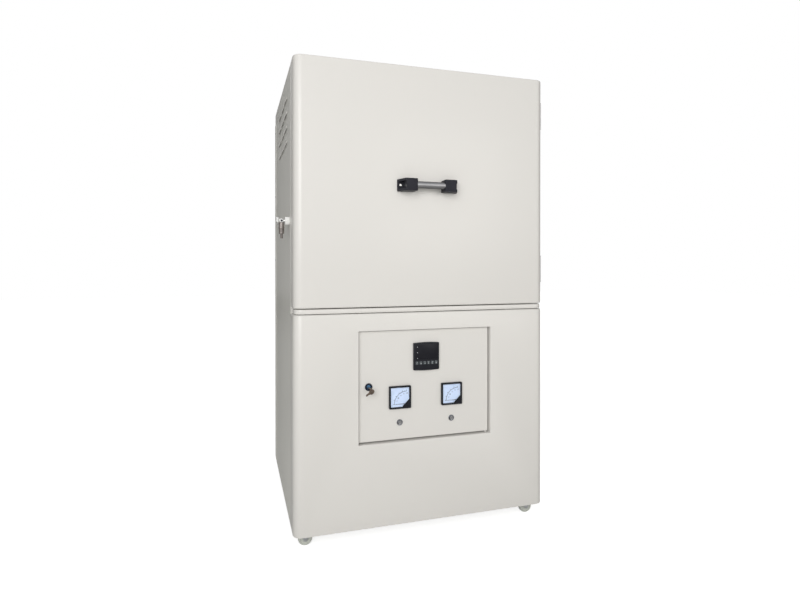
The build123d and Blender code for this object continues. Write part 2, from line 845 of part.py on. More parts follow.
def handle_bracket(side):
    """Wedge-ended bracket with an open screw pocket and a socket for the tube."""
    with BuildPart() as bracket:
        with BuildSketch(Plane.XY.offset(door_middle - handle_height / 2)):
            with BuildLine():
                Polyline(
                    (side * bracket_inner, front_y),
                    (side * handle_length / 2, front_y),
                    (side * (bracket_inner + bracket_front_length), front_y - handle_standoff),
                    (side * bracket_inner, front_y - handle_standoff),
                    close=True,
                )
            make_face()
        extrude(amount=handle_height)
        fillet(bracket.edges().filter_by(Axis.Z).group_by(Axis.Y)[0], bracket_round)
        pocket_start = bracket_inner + tube_insert + bracket_web
        pocket_x = sorted((side * pocket_start, side * handle_length / 2))
        block(
            pocket_x,
            (front_y - handle_standoff, front_y - bracket_pocket_floor),
            (door_middle - bracket_pocket_height / 2, door_middle + bracket_pocket_height / 2),
            mode=Mode.SUBTRACT,
        )
        socket = Plane(origin=(side * bracket_inner, tube_y, door_middle), x_dir=(0, 1, 0), z_dir=(side, 0, 0))
        with BuildSketch(socket):
            Circle(tube_radius)
        extrude(amount=tube_insert, mode=Mode.SUBTRACT)
    return bracket.part


save(handle_bracket(-1), "handle_bracket_left")
save(handle_bracket(1), "handle_bracket_right")

with BuildPart() as handle_tube:
    with BuildSketch(Plane(origin=(0, tube_y, door_middle), x_dir=(0, 1, 0), z_dir=(1, 0, 0))):
        Circle(tube_radius)
        Circle(tube_radius - tube_wall, mode=Mode.SUBTRACT)
    extrude(amount=bracket_inner + tube_insert, both=True)
save(handle_tube.part, "handle_tube")

# ================================================================ door hinges
hinge_height = 3 * knuckle_height
hinge_levels = {"lower": door_bottom + hinge_inset, "upper": door_top - hinge_inset}


def leaf_profile(toward):
    """Plan shape of a hinge leaf with its web to the barrel; toward is -1 at the door, 1 at the cabinet."""
    near = hinge_y + toward * leaf_stand_back
    far = hinge_y + toward * (leaf_stand_back + leaf_length)
    with BuildSketch(mode=Mode.PRIVATE) as profile:
        with BuildLine():
            Polyline(
                (side_x, near),
                (side_x, far),
                (side_x + leaf_thickness, far),
                (side_x + leaf_thickness, near + toward * leaf_thickness),
                (hinge_x, hinge_y + toward * knuckle_radius),
                (hinge_x, hinge_y),
                (hinge_x - leaf_web_reach, hinge_y + toward * leaf_thickness),
                close=True,
            )
        make_face()
    return profile.sketch


for level, hinge_z in hinge_levels.items():
    low = hinge_z - hinge_height / 2
    third = knuckle_height
    with BuildPart() as fixed_half:
        for start in (low, low + 2 * third):
            with BuildSketch(Plane.XY.offset(start)):
                with Locations((hinge_x, hinge_y)):
                    Circle(knuckle_radius)
                add(leaf_profile(1))
            extrude(amount=third)
        block(
            (side_x, side_x + leaf_thickness),
            (hinge_y + leaf_stand_back + leaf_thickness, hinge_y + leaf_stand_back + leaf_length),
            (low, low + hinge_height),
        )
        with BuildSketch(Plane.XY.offset(low)):
            with Locations((hinge_x, hinge_y)):
                Circle(hinge_pin_radius)
        extrude(amount=hinge_height)
    save(fixed_half.part, f"door_hinge_{level}")

    with BuildPart() as moving_half:
        with BuildSketch(Plane.XY.offset(low + third + knuckle_gap)):
            with Locations((hinge_x, hinge_y)):
                Circle(knuckle_radius)
            add(leaf_profile(-1))
            with Locations((hinge_x, hinge_y)):
                Circle(hinge_pin_radius + hinge_clearance, mode=Mode.SUBTRACT)
        extrude(amount=third - 2 * knuckle_gap)
        block(
            (side_x, side_x + leaf_thickness),
            (hinge_y - leaf_stand_back - leaf_length, hinge_y - leaf_stand_back - leaf_thickness),
            (low, low + hinge_height),
        )
    save(moving_half.part, f"door_hinge_arm_{level}")

# ================================================================ control door leaf
leaf_width = leaf_right - leaf_left
leaf_height = leaf_top - leaf_bottom
leaf_back = face_y + leaf_depth
meter_spots = {"ammeter": -meter_spacing / 2, "voltmeter": meter_spacing / 2}
button_spots = {"left": -button_spacing / 2, "right": button_spacing / 2}
controller_hole = controller_case + cutout_clearance
meter_hole = meter_case + cutout_clearance

with BuildPart() as control_door:
    block((leaf_left, leaf_right), (face_y, leaf_back), (leaf_bottom, leaf_top))
    offset(amount=-sheet, openings=[control_door.faces().sort_by(Axis.Y)[-1]])
    with BuildSketch(Plane.XY.offset(leaf_bottom)):
        with Locations((pivot_x, pivot_y)):
            Circle(pivot_boss_radius)
    extrude(amount=leaf_height)
    with BuildSketch(Plane.XY.offset(leaf_bottom - pivot_length)):
        with Locations((pivot_x, pivot_y)):
            Circle(pivot_radius)
    extrude(amount=leaf_height + 2 * pivot_length)
    with BuildSketch(facing(face_y + sheet)):
        with Locations((0, controller_z)):
            Rectangle(controller_hole, controller_hole)
        with Locations(*[(x, meter_z) for x in meter_spots.values()]):
            Rectangle(meter_hole, meter_hole)
        with Locations(*[(x, button_z) for x in button_spots.values()]):
            Circle(button_barrel_radius)
        with Locations((lock_x, lock_z)):
            Circle(lock_barrel_radius)
    extrude(amount=sheet, mode=Mode.SUBTRACT)
save(control_door.part, "control_door")

# ================================================================ temperature controller
key_spots = [(index - (key_count - 1) / 2) * key_pitch for index in range(key_count)]
key_z = controller_z - key_drop
bezel_front = face_y - controller_bezel

with BuildPart() as controller:
    half = controller_size / 2
    with BuildSketch(facing(face_y)):
        with BuildLine():
            Line((-half, controller_z - half), (-half, controller_z + half))
            ThreePointArc(
                (-half, controller_z + half), (0, controller_z + half + controller_bulge), (half, controller_z + half)
            )
            Line((half, controller_z + half), (half, controller_z - half))
            ThreePointArc(
                (half, controller_z - half), (0, controller_z - half - controller_bulge), (-half, controller_z - half)
            )
        make_face()
    extrude(amount=controller_bezel)
    fillet(controller.faces().sort_by(Axis.Y)[0].edges(), bezel_round)
    with BuildSketch(facing(bezel_front)):
        with Locations((0, controller_z + window_rise)):
            RectangleRounded(window_width, window_height, window_round)
    extrude(amount=-window_depth, mode=Mode.SUBTRACT)
    with BuildSketch(facing(bezel_front)):
        with Locations(*[(x, key_z) for x in key_spots]):
            Rectangle(key_width + 2 * key_gap, key_height + 2 * key_gap)
    extrude(amount=-(key_depth - key_proud + key_travel + key_gap), mode=Mode.SUBTRACT)
    case_half = controller_case / 2
    block(
        (-case_half, case_half),
        (face_y, face_y + controller_case_depth),
        (controller_z - case_half, controller_z + case_half),
    )
save(controller.part, "controller")

for index, key_x in enumerate(key_spots, start=1):
    with BuildPart() as key:
        with BuildSketch(facing(bezel_front - key_proud + key_depth)):
            with Locations((key_x, key_z)):
                RectangleRounded(key_width, key_height, key_round)
        extrude(amount=key_depth)
        fillet(key.faces().sort_by(Axis.Y)[0].edges(), key_edge)
    save(key.part, f"controller_key_{index}")

# ================================================================ panel meters
meter_front = face_y - meter_bezel
dial_y = meter_front + meter_well
pivot_offset = meter_size / 2 - needle_pivot_inset

for name, meter_x in meter_spots.items():
    half = meter_size / 2
    hub_x = meter_x + pivot_offset
    hub_z = meter_z - pivot_offset
    with BuildPart() as meter:
        with BuildSketch(facing(face_y)):
            with Locations((meter_x, meter_z)):
                RectangleRounded(meter_size, meter_size, meter_round)
        extrude(amount=meter_bezel)
        with BuildSketch(facing(meter_front)):
            with Locations((meter_x, meter_z)):
                Rectangle(meter_size - 2 * meter_frame, meter_size - 2 * meter_frame)
        extrude(amount=-meter_well, mode=Mode.SUBTRACT)
        inner_right = meter_x + half - meter_frame
        inner_low = meter_z - half + meter_frame
        with BuildSketch(facing(meter_front + meter_corner_plate)):
            with BuildLine():
                Polyline(
                    (inner_right, inner_low),
                    (inner_right, inner_low + meter_corner),
                    (inner_right - meter_corner, inner_low),
                    close=True,
                )
            make_face()
        extrude(amount=meter_corner_plate)
        block(
            (meter_x - meter_case / 2, meter_x + meter_case / 2),
            (face_y, face_y + meter_case_depth),
            (meter_z - meter_case / 2, meter_z + meter_case / 2),
        )
        with BuildSketch(facing(dial_y)):
            with Locations((hub_x, hub_z)):
                Circle(needle_spindle_radius + needle_spindle_clearance)
        extrude(amount=-needle_spindle_length, mode=Mode.SUBTRACT)
    save(meter.part, name)

    needle_y = dial_y - needle_float
    with BuildPart() as needle:
        with BuildSketch(facing(needle_y)):
            with Locations((hub_x, hub_z)):
                Circle(needle_hub_radius)
        extrude(amount=needle_hub_height)
        with BuildSketch(facing(needle_y - needle_lift)):
            with BuildLine():
                Polyline(
                    (hub_x, hub_z + needle_width),
                    (hub_x, hub_z - needle_width),
                    (hub_x - needle_length, hub_z - needle_width * needle_tip_share),
                    (hub_x - needle_length, hub_z + needle_width * needle_tip_share),
                    close=True,
                )
            make_face()
        extrude(amount=needle_thickness)
        with BuildSketch(facing(needle_y)):
            with Locations((hub_x, hub_z)):
                Circle(needle_spindle_radius)
        extrude(amount=-needle_spindle_length)
    save(needle.part, f"{name}_needle")

# ================================================================ push buttons
for name, button_x in button_spots.items():
    bore = button_cap_radius + button_clearance
    with BuildPart() as bezel:
        with BuildSketch(facing(face_y)):
            with Locations((button_x, button_z)):
                Circle(button_bezel_radius)
        extrude(amount=button_bezel_height)
        fillet(bezel.faces().sort_by(Axis.Y)[0].edges(), button_bezel_round)
        with BuildSketch(facing(face_y)):
            with Locations((button_x, button_z)):
                Circle(button_barrel_radius)
        extrude(amount=-button_barrel_length)
        with BuildSketch(facing(face_y - button_bezel_height)):
            with Locations((button_x, button_z)):
                Circle(bore)
        extrude(amount=-(button_cap_length - button_cap_proud + button_travel + button_bore_spare), mode=Mode.SUBTRACT)
    save(bezel.part, f"button_bezel_{name}")

    with BuildPart() as cap:
        with BuildSketch(facing(face_y - button_bezel_height - button_cap_proud + button_cap_length)):
            with Locations((button_x, button_z)):
                Circle(button_cap_radius)
        extrude(amount=button_cap_length)
        fillet(cap.faces().sort_by(Axis.Y)[0].edges(), button_cap_round)
    save(cap.part, f"push_button_{name}")

# ================================================================ cam lock with its key
cam_front = front_y + jamb_depth + cam_gap
with BuildPart() as door_lock:
    with BuildSketch(facing(face_y)):
        with Locations((lock_x, lock_z)):
            Circle(lock_flange_radius)
    extrude(amount=lock_flange_height)
    fillet(door_lock.faces().sort_by(Axis.Y)[0].edges(), lock_flange_round)
    with BuildSketch(facing(cam_front - lock_clearance)):
        with Locations((lock_x, lock_z)):
            Circle(lock_barrel_radius)
    extrude(amount=cam_front - lock_clearance - face_y)
    with BuildSketch(facing(cam_front)):
        with Locations((lock_x, lock_z)):
            Circle(lock_plug_radius + lock_clearance)
    extrude(amount=cam_front - face_y + lock_flange_height, mode=Mode.SUBTRACT)
save(door_lock.part, "door_lock")

lock_front = face_y - lock_flange_height
with BuildPart() as lock_plug:
    with BuildSketch(facing(cam_front)):
        with Locations((lock_x, lock_z)):
            Circle(lock_plug_radius)
    extrude(amount=cam_front - lock_front)
    with BuildSketch(facing(cam_front + cam_thickness)):
        with Locations((lock_x, lock_z - (cam_length - cam_width) / 2)):
            SlotOverall(cam_length, cam_width, rotation=90)
    extrude(amount=cam_thickness)
    key_plane = Plane(origin=(lock_x, 0, lock_z), x_dir=(0, -1, 0), z_dir=(1, 0, 0))
    with BuildSketch(key_plane):
        with Locations((-lock_front + (key_shank_length - key_shank_insert) / 2, 0)):
            Rectangle(key_shank_length + key_shank_insert, key_shank_width)
        with Locations((-lock_front + key_shank_length + key_bow_setting, 0)):
            Circle(key_bow_radius)
        with Locations((-lock_front + key_shank_length + key_hole_setting, 0)):
            Circle(key_bow_hole, mode=Mode.SUBTRACT)
    extrude(amount=key_bow_thickness / 2, both=True)
save(lock_plug.part, "lock_plug")

# ================================================================ side gas valve
valve_y = front_y + valve_setback
neck_end = side_x + valve_nut_length + valve_neck_length
outlet_x = neck_end + valve_outlet_inset
knob_start = outlet_x + valve_outlet_radius + valve_knob_gap


def leftward(distance):
    """Sketch plane across the valve axis at a distance left of the cabinet's middle, facing outwards."""
    return Plane(origin=(-distance, valve_y, valve_z), x_dir=(0, -1, 0), z_dir=(-1, 0, 0))


with BuildPart() as gas_valve:
    with BuildSketch(leftward(side_x)):
        RegularPolygon(valve_nut_radius, 6)
    extrude(amount=valve_nut_length)
    with BuildSketch(leftward(side_x + valve_nut_length)):
        Circle(valve_neck_small)
    with BuildSketch(leftward(neck_end)):
        Circle(valve_neck_large)
    loft()
    with BuildSketch(leftward(neck_end)):
        Circle(valve_neck_large)
    extrude(amount=knob_start - valve_knob_gap - neck_end)
    with BuildSketch(Plane.XY.offset(valve_z)):
        with Locations((-outlet_x, valve_y)):
            Circle(valve_outlet_radius)
    extrude(amount=-valve_outlet_drop)
    with BuildSketch(Plane.XY.offset(valve_z - valve_outlet_drop)):
        with Locations((-outlet_x, valve_y)):
            Circle(valve_barb_radius)
    extrude(amount=-valve_barb_length)
    with BuildSketch(Plane.XY.offset(valve_z - valve_outlet_drop - valve_barb_length)):
        with Locations((-outlet_x, valve_y)):
            Circle(valve_bore_radius)
    extrude(amount=valve_barb_length + valve_outlet_drop - valve_outlet_radius, mode=Mode.SUBTRACT)
    with BuildSketch(leftward(knob_start)):
        Circle(valve_stem_radius + valve_stem_clearance)
    extrude(amount=-(knob_start - outlet_x + valve_stem_spare), mode=Mode.SUBTRACT)
save(gas_valve.part, "gas_valve")

with BuildPart() as gas_valve_knob:
    with BuildSketch(leftward(knob_start)):
        Circle(valve_knob_radius)
        with PolarLocations(valve_knob_radius + valve_grip_offset, valve_knob_grips):
            Circle(valve_grip_radius, mode=Mode.SUBTRACT)
    extrude(amount=valve_knob_length)
    with BuildSketch(leftward(knob_start)):
        Circle(valve_stem_radius)
    extrude(amount=-(knob_start - outlet_x))
save(gas_valve_knob.part, "gas_valve_knob")

# ================================================================ rear cooling fan
rearward = Plane(origin=(0, rear_y, fan_z), x_dir=(-1, 0, 0), z_dir=(0, 1, 0))
with BuildPart() as fan_housing:
    with BuildSketch(rearward):
        RectangleRounded(fan_size, fan_size, fan_corner)
        Circle(fan_bore_radius, mode=Mode.SUBTRACT)
    extrude(amount=fan_depth)
    with BuildSketch(rearward.offset(fan_depth - fan_spoke_thickness)):
        for ring in fan_rings:
            Circle(fan_bore_radius * ring + fan_ring_width / 2)
            Circle(fan_bore_radius * ring - fan_ring_width / 2, mode=Mode.SUBTRACT)
        Circle(fan_hub_radius)
        with PolarLocations(0, fan_spokes, start_angle=45):
            with Locations((fan_bore_radius / 2, 0)):
                Rectangle(fan_bore_radius + fan_spoke_overlap, fan_spoke_width)
    extrude(amount=fan_spoke_thickness)
    with BuildSketch(rearward.offset(fan_depth - fan_spoke_thickness)):
        Circle(fan_shaft_radius)
    extrude(amount=-(fan_end_gap + fan_rotor_depth - fan_bore_floor - fan_shaft_gap))
save(fan_housing.part, "fan_housing")

with BuildPart() as fan_rotor:
    rotor_start = fan_depth - fan_spoke_thickness - fan_end_gap - fan_rotor_depth
    with BuildSketch(rearward.offset(rotor_start)):
        Circle(fan_hub_radius)
    extrude(amount=fan_rotor_depth)
    blade_span = fan_bore_radius - fan_tip_gap - fan_hub_radius + fan_blade_root
    for index in range(fan_blades):
        turn = 360 / fan_blades * index
        spoke = Plane(
            origin=rearward.offset(rotor_start + fan_rotor_depth / 2).origin,
            x_dir=(0, 1, 0),
            z_dir=(cos(radians(turn)), 0, sin(radians(turn))),
        )
        with BuildSketch(spoke.offset(fan_hub_radius - fan_blade_root)):
            Rectangle(fan_blade_chord, fan_blade_sheet, rotation=fan_blade_twist[0])
        with BuildSketch(spoke.offset(fan_hub_radius - fan_blade_root + blade_span)):
            Rectangle(fan_blade_chord, fan_blade_sheet, rotation=fan_blade_twist[1])
        loft()
    with BuildSketch(rearward.offset(rotor_start + fan_bore_floor)):
        Circle(fan_shaft_radius + fan_shaft_clearance)
    extrude(amount=fan_rotor_depth, mode=Mode.SUBTRACT)
save(fan_rotor.part, "fan_rotor")

# ================================================================ cable gland
gland_plane = Plane(origin=(gland_x, rear_y, gland_z), x_dir=(-1, 0, 0), z_dir=(0, 1, 0))
with BuildPart() as cable_gland:
    with BuildSketch(gland_plane):
        RegularPolygon(gland_nut_radius, 6)
    extrude(amount=gland_nut_length)
    with BuildSketch(gland_plane.offset(gland_nut_length)):
        Circle(gland_dome_radius)
    extrude(amount=gland_dome_length)
    fillet(cable_gland.faces().sort_by(Axis.Y)[-1].edges(), gland_dome_round)
    with BuildSketch(gland_plane):
        Circle(gland_thread_radius)
    extrude(amount=-gland_thread_length)
    with BuildSketch(gland_plane.offset(gland_nut_length + gland_dome_length)):
        Circle(gland_bore_radius)
    extrude(amount=-(gland_nut_length + gland_dome_length + gland_thread_length), mode=Mode.SUBTRACT)
save(cable_gland.part, "cable_gland")

# ================================================================ transformer
pan_floor = pan_bottom + pan_wall
core_bottom = pan_floor + foot_height
with BuildPart() as transformer:
    block(
        (transformer_x - core_width / 2, transformer_x + core_width / 2),
        (transformer_y - core_depth / 2, transformer_y + core_depth / 2),
        (core_bottom, core_bottom + core_height),
    )
    window_span = (core_width - 3 * core_limb) / 2
    for side in (-1, 1):
        window_x = transformer_x + side * (core_limb + window_span) / 2
        block(
            (window_x - window_span / 2, window_x + window_span / 2),
            (transformer_y - core_depth / 2, transformer_y + core_depth / 2),
            (core_bottom + core_limb, core_bottom + core_height - core_limb),
            mode=Mode.SUBTRACT,
        )
    coil_height = core_height - 2 * core_limb - 2 * coil_gap
    with BuildSketch(Plane.XY.offset(core_bottom + core_limb + coil_gap)):
        for limb in (-1, 0, 1):
            limb_x = transformer_x + limb * (core_width - core_limb) / 2
            with Locations((limb_x, transformer_y)):
                RectangleRounded(core_limb + 2 * coil_wall, core_depth + 2 * coil_wall, coil_round)
    extrude(amount=coil_height)
    for side in (-1, 1):
        foot_x = transformer_x + side * (core_width / 2 - core_limb / 2)
        block(
            (foot_x - core_limb / 2, foot_x + core_limb / 2),
            (transformer_y - core_depth / 2 - coil_wall, transformer_y + core_depth / 2 + coil_wall),
            (pan_floor, core_bottom),
        )
save(transformer.part, "transformer")

# ================================================================ power controller on its heat sink
with BuildPart() as power_controller:
    sink_bottom = pan_floor + foot_height
    sink_back = power_y + sink_depth
    block(
        (power_x - sink_width / 2, power_x + sink_width / 2),
        (power_y, power_y + sink_base),
        (sink_bottom, sink_bottom + sink_height),
    )
    fin_pitch = (sink_width - fin_thickness) / (fin_count - 1)
    with BuildSketch(Plane.XY.offset(sink_bottom)):
        with Locations((power_x, power_y + (sink_base + sink_depth) / 2)):
            with GridLocations(fin_pitch, 1, fin_count, 1):
                Rectangle(fin_thickness, sink_depth - sink_base)
    extrude(amount=sink_height)
    block(
        (power_x - module_width / 2, power_x + module_width / 2),
        (power_y - module_depth, power_y),
        (sink_bottom + module_rise, sink_bottom + module_rise + module_height),
    )
    block(
        (power_x - sink_width / 2, power_x + sink_width / 2),
        (power_y, sink_back),
        (pan_floor, pan_floor + bracket_sheet),
    )
    for side in (-1, 1):
        edge = power_x + side * sink_width / 2
        block(
            sorted((edge, edge - side * bracket_sheet)),
            (power_y, sink_back),
            (pan_floor, sink_bottom),
        )
save(power_controller.part, "power_controller")
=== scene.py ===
import bmesh
import bpy
import math
from mathutils import Matrix, Vector


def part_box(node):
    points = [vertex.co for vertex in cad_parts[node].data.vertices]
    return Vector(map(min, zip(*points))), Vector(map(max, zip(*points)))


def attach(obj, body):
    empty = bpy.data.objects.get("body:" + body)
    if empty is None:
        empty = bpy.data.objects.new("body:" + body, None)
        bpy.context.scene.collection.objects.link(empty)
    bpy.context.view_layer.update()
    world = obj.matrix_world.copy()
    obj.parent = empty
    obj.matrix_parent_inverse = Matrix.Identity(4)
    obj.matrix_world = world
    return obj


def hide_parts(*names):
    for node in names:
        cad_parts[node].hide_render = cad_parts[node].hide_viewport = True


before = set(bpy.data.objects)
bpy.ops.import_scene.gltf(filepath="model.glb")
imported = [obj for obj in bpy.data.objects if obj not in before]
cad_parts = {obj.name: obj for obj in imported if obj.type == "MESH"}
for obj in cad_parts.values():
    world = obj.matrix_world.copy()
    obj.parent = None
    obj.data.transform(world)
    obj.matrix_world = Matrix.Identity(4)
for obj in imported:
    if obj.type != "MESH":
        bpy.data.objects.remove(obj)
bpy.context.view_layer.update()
print("stage: frame loaded")

scene = bpy.context.scene
millimetre = 0.001
towardBack = ((-1, 0, 0), (0, 0, 1))  # plane of a front-facing outline; prisms on it grow to the back


# small mesh helpers; pieces are drawn in millimetres
def nodeBox(name):
    # lowest and highest corners of a solid at rest, in millimetres
    low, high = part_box(name)
    return Vector(low) / millimetre, Vector(high) / millimetre


def sideName(side):
    return "Left" if side < 0 else "Right"


def addObject(name, data):
    made = bpy.data.objects.new(name, data)
    scene.collection.objects.link(made)
    return made


def meshFrom(bm, name):
    mesh = bpy.data.meshes.new(name)
    bm.to_mesh(mesh)
    bm.free()
    return mesh


def smoothShade(mesh, sharpAngle=32):
    mesh.polygons.foreach_set("use_smooth", [True] * len(mesh.polygons))
    mesh.set_sharp_from_angle(angle=math.radians(sharpAngle))


def newPiece(name, bm, finishName, sharpAngle=32):
    bmesh.ops.remove_doubles(bm, verts=bm.verts, dist=0.004)
    bmesh.ops.recalc_face_normals(bm, faces=bm.faces)
    bmesh.ops.scale(bm, vec=(millimetre, millimetre, millimetre), verts=bm.verts)
    piece = addObject(name, meshFrom(bm, name))
    piece.data.materials.append(finish[finishName])
    smoothShade(piece.data, sharpAngle)
    return piece


def settle(piece, body, slotName, *nodes):
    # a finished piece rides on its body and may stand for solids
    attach(piece, body)
    if nodes:
        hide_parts(*nodes)


def fitPiece(name, bm, finishName, body, slotName, *nodes):
    settle(newPiece(name, bm, finishName), body, slotName, *nodes)


def applyModifiers(piece):
    made = bpy.data.meshes.new_from_object(piece.evaluated_get(bpy.context.evaluated_depsgraph_get()))
    piece.modifiers.clear()
    piece.data = made


def pour(bm, part):
    # moves the faces of one bmesh into another
    held = meshFrom(part, "held")
    bm.from_mesh(held)
    bpy.data.meshes.remove(held)


def roundEdges(bm, edges, offset, segments=2):
    bmesh.ops.bevel(bm, geom=edges, offset=offset, segments=segments, profile=0.5, affect="EDGES")


def blockBetween(low, high):
    bm = bmesh.new()
    bmesh.ops.create_cube(bm, size=1.0)
    bmesh.ops.scale(bm, vec=high - low, verts=bm.verts)
    bmesh.ops.translate(bm, vec=(low + high) / 2, verts=bm.verts)
    return bm


def addBlock(bm, low, high, rounding=0.0, segments=2):
    part = blockBetween(Vector(low), Vector(high))
    if rounding:
        roundEdges(part, part.edges[:], rounding, segments)
    pour(bm, part)


def circlePoints(centre, first, second, radius, steps):
    # points around a centre, in the plane of two directions
    turns = [2 * math.pi * step / steps for step in range(steps)]
    return [centre + (first * math.cos(turn) + second * math.sin(turn)) * radius for turn in turns]


def skinRings(bm, rings):
    # a band of faces between each ring of corners and the next
    for first, second in zip(rings, rings[1:]):
        for index in range(len(first)):
            following = (index + 1) % len(first)
            bm.faces.new((first[index], first[following], second[following], second[index]))


def addLathe(bm, profile, centre, axis, steps=32):
    # profile is a list of (radius, distance along the axis)
    axis = Vector(axis).normalized()
    side = Vector((0, 0, 1)) if abs(axis.z) < 0.9 else Vector((1, 0, 0))
    across = axis.cross(side).normalized()
    upward = across.cross(axis).normalized()
    part = bmesh.new()
    rings = []
    for radius, along in profile:
        middle = Vector(centre) + axis * along
        points = [middle] if radius < 1e-6 else circlePoints(middle, across, upward, radius, steps)
        rings.append([part.verts.new(point) for point in points])
    for first, second in zip(rings, rings[1:]):
        for step in range(steps):
            following = (step + 1) % steps
            corners = [first[step % len(first)], first[following % len(first)],
                       second[following % len(second)], second[step % len(second)]]
            unique = list(dict.fromkeys(corners))
            if len(unique) > 2:
                part.faces.new(unique)
    bmesh.ops.recalc_face_normals(part, faces=part.faces)
    pour(bm, part)


def raiseFace(corners, growth):
    # a closed prism from a flat ring of corners
    bm = bmesh.new()
    base = bm.faces.new([bm.verts.new(corner) for corner in corners])
    grown = bmesh.ops.extrude_face_region(bm, geom=[base])
    moved = [item for item in grown["geom"] if isinstance(item, bmesh.types.BMVert)]
    bmesh.ops.translate(bm, vec=growth, verts=moved)
    bmesh.ops.recalc_face_normals(bm, faces=bm.faces)
    return bm


def addPrism(bm, outline, origin, plane, depth, rounding=0.0):
    # outline is a list of (u, v); the prism grows from origin along the plane's normal
    along, upward = Vector(plane[0]), Vector(plane[1])
    part = raiseFace([Vector(origin) + along * u + upward * v for u, v in outline], along.cross(upward) * depth)
    if rounding:
        roundEdges(part, part.edges[:], rounding)
    pour(bm, part)


def polar(radius, degrees):
    return radius * math.cos(math.radians(degrees)), radius * math.sin(math.radians(degrees))


def ringOutline(radius, steps):
    return [polar(radius, 360.0 * k / steps) for k in range(steps)]


def roundedOutline(width, height, radius, steps=5):
    points = []
    for signU, signV, start in ((1, 1, 0), (-1, 1, 90), (-1, -1, 180), (1, -1, 270)):
        for k in range(steps + 1):
            u, v = polar(radius, start + 90 * k / steps)
            points.append((signU * (width / 2 - radius) + u, signV * (height / 2 - radius) + v))
    return points


def mirrored(outline):
    return [(-u, v) for u, v in outline]


def carve(piece, bm):
    # cuts the shape in a bmesh, drawn in millimetres, out of a piece
    bmesh.ops.scale(bm, vec=(millimetre, millimetre, millimetre), verts=bm.verts)
    bmesh.ops.recalc_face_normals(bm, faces=bm.faces)
    cutter = addObject("cutter", meshFrom(bm, "cutter"))
    cut = piece.modifiers.new("carve", "BOOLEAN")
    cut.operation = "DIFFERENCE"
    cut.solver = "EXACT"
    cut.object = cutter
    applyModifiers(piece)
    bpy.data.objects.remove(cutter)
    smoothShade(piece.data)


# node helpers
def addNode(tree, kind, values=(), **settings):
    # a node with its own settings and the values of its sockets
    node = tree.nodes.new(kind)
    for name, value in settings.items():
        setattr(node, name, value)
    for label, value in dict(values).items():
        node.inputs[label].default_value = value
    return node


def wire(tree, *runs):
    # each run is a node, its output, the next node and its input
    for source, output, target, entry in runs:
        tree.links.new(source.outputs[output], target.inputs[entry])


def mathNode(tree, operation, value=None):
    return addNode(tree, "ShaderNodeMath", {} if value is None else {1: value}, operation=operation)


def noiseNode(tree, detail, roughness=0.55):
    return addNode(tree, "ShaderNodeTexNoise", {"Detail": detail, "Roughness": roughness})


def rangeNode(tree, low, high):
    return addNode(tree, "ShaderNodeMapRange", {"From Min": low, "From Max": high})


def blendNode(tree):
    return addNode(tree, "ShaderNodeMix", data_type="RGBA")


def objectPlace(tree):
    return tree.nodes.new("ShaderNodeTexCoord")


# shader groups shared by the finishes
def shaderGroup(name, result, **inputs):
    # result is a label and its kind of socket; each input is a kind and a value
    group = bpy.data.node_groups.new(name, "ShaderNodeTree")
    for label, (kind, value) in inputs.items():
        socket = group.interface.new_socket(label, in_out="INPUT", socket_type="NodeSocket" + kind)
        socket.default_value = value
    label, kind = result
    group.interface.new_socket(label, in_out="OUTPUT", socket_type="NodeSocket" + kind)
    return group, group.nodes.new("NodeGroupInput"), group.nodes.new("NodeGroupOutput")


def buildDrift():
    # slow colour drift between two tones
    tree, given, result = shaderGroup(
        "colourDrift", ("Color", "Color"), Base=("Color", (0.8, 0.8, 0.8, 1)), Tint=("Color", (0.7, 0.7, 0.7, 1)),
        Scale=("Float", 3.0), Amount=("Float", 0.5),
    )
    noise, spread = noiseNode(tree, 4), rangeNode(tree, 0.3, 0.7)
    share, blend = mathNode(tree, "MULTIPLY"), blendNode(tree)
    wire(
        tree, (objectPlace(tree), "Object", noise, "Vector"), (given, "Scale", noise, "Scale"),
        (noise, "Fac", spread, "Value"), (spread, "Result", share, 0), (given, "Amount", share, 1),
        (share, 0, blend, "Factor"), (given, "Base", blend, "A"), (given, "Tint", blend, "B"),
        (blend, "Result", result, "Color"),
    )
    return tree


def buildSmudges():
    # roughness that wanders between two values
    tree, given, result = shaderGroup(
        "smudges", ("Roughness", "Float"), Scale=("Float", 8.0), Low=("Float", 0.3), High=("Float", 0.5),
    )
    noise, spread = noiseNode(tree, 6, 0.6), rangeNode(tree, 0.3, 0.7)
    wire(
        tree, (objectPlace(tree), "Object", noise, "Vector"), (given, "Scale", noise, "Scale"),
        (noise, "Fac", spread, "Value"), (given, "Low", spread, "To Min"), (given, "High", spread, "To Max"),
        (spread, "Result", result, "Roughness"),
    )
    return tree


def buildGrain():
    # fine relief; Stretch draws it out along one way, as brushing does
    tree, given, result = shaderGroup(
        "surfaceGrain", ("Height", "Float"), Scale=("Float", 300.0), Stretch=("Vector", (1, 1, 1)),
    )
    drawn = addNode(tree, "ShaderNodeVectorMath", operation="MULTIPLY")
    noise = noiseNode(tree, 3, 0.5)
    wire(
        tree, (objectPlace(tree), "Object", drawn, 0), (given, "Stretch", drawn, 1),
        (drawn, "Vector", noise, "Vector"), (given, "Scale", noise, "Scale"), (noise, "Fac", result, "Height"),
    )
    return tree


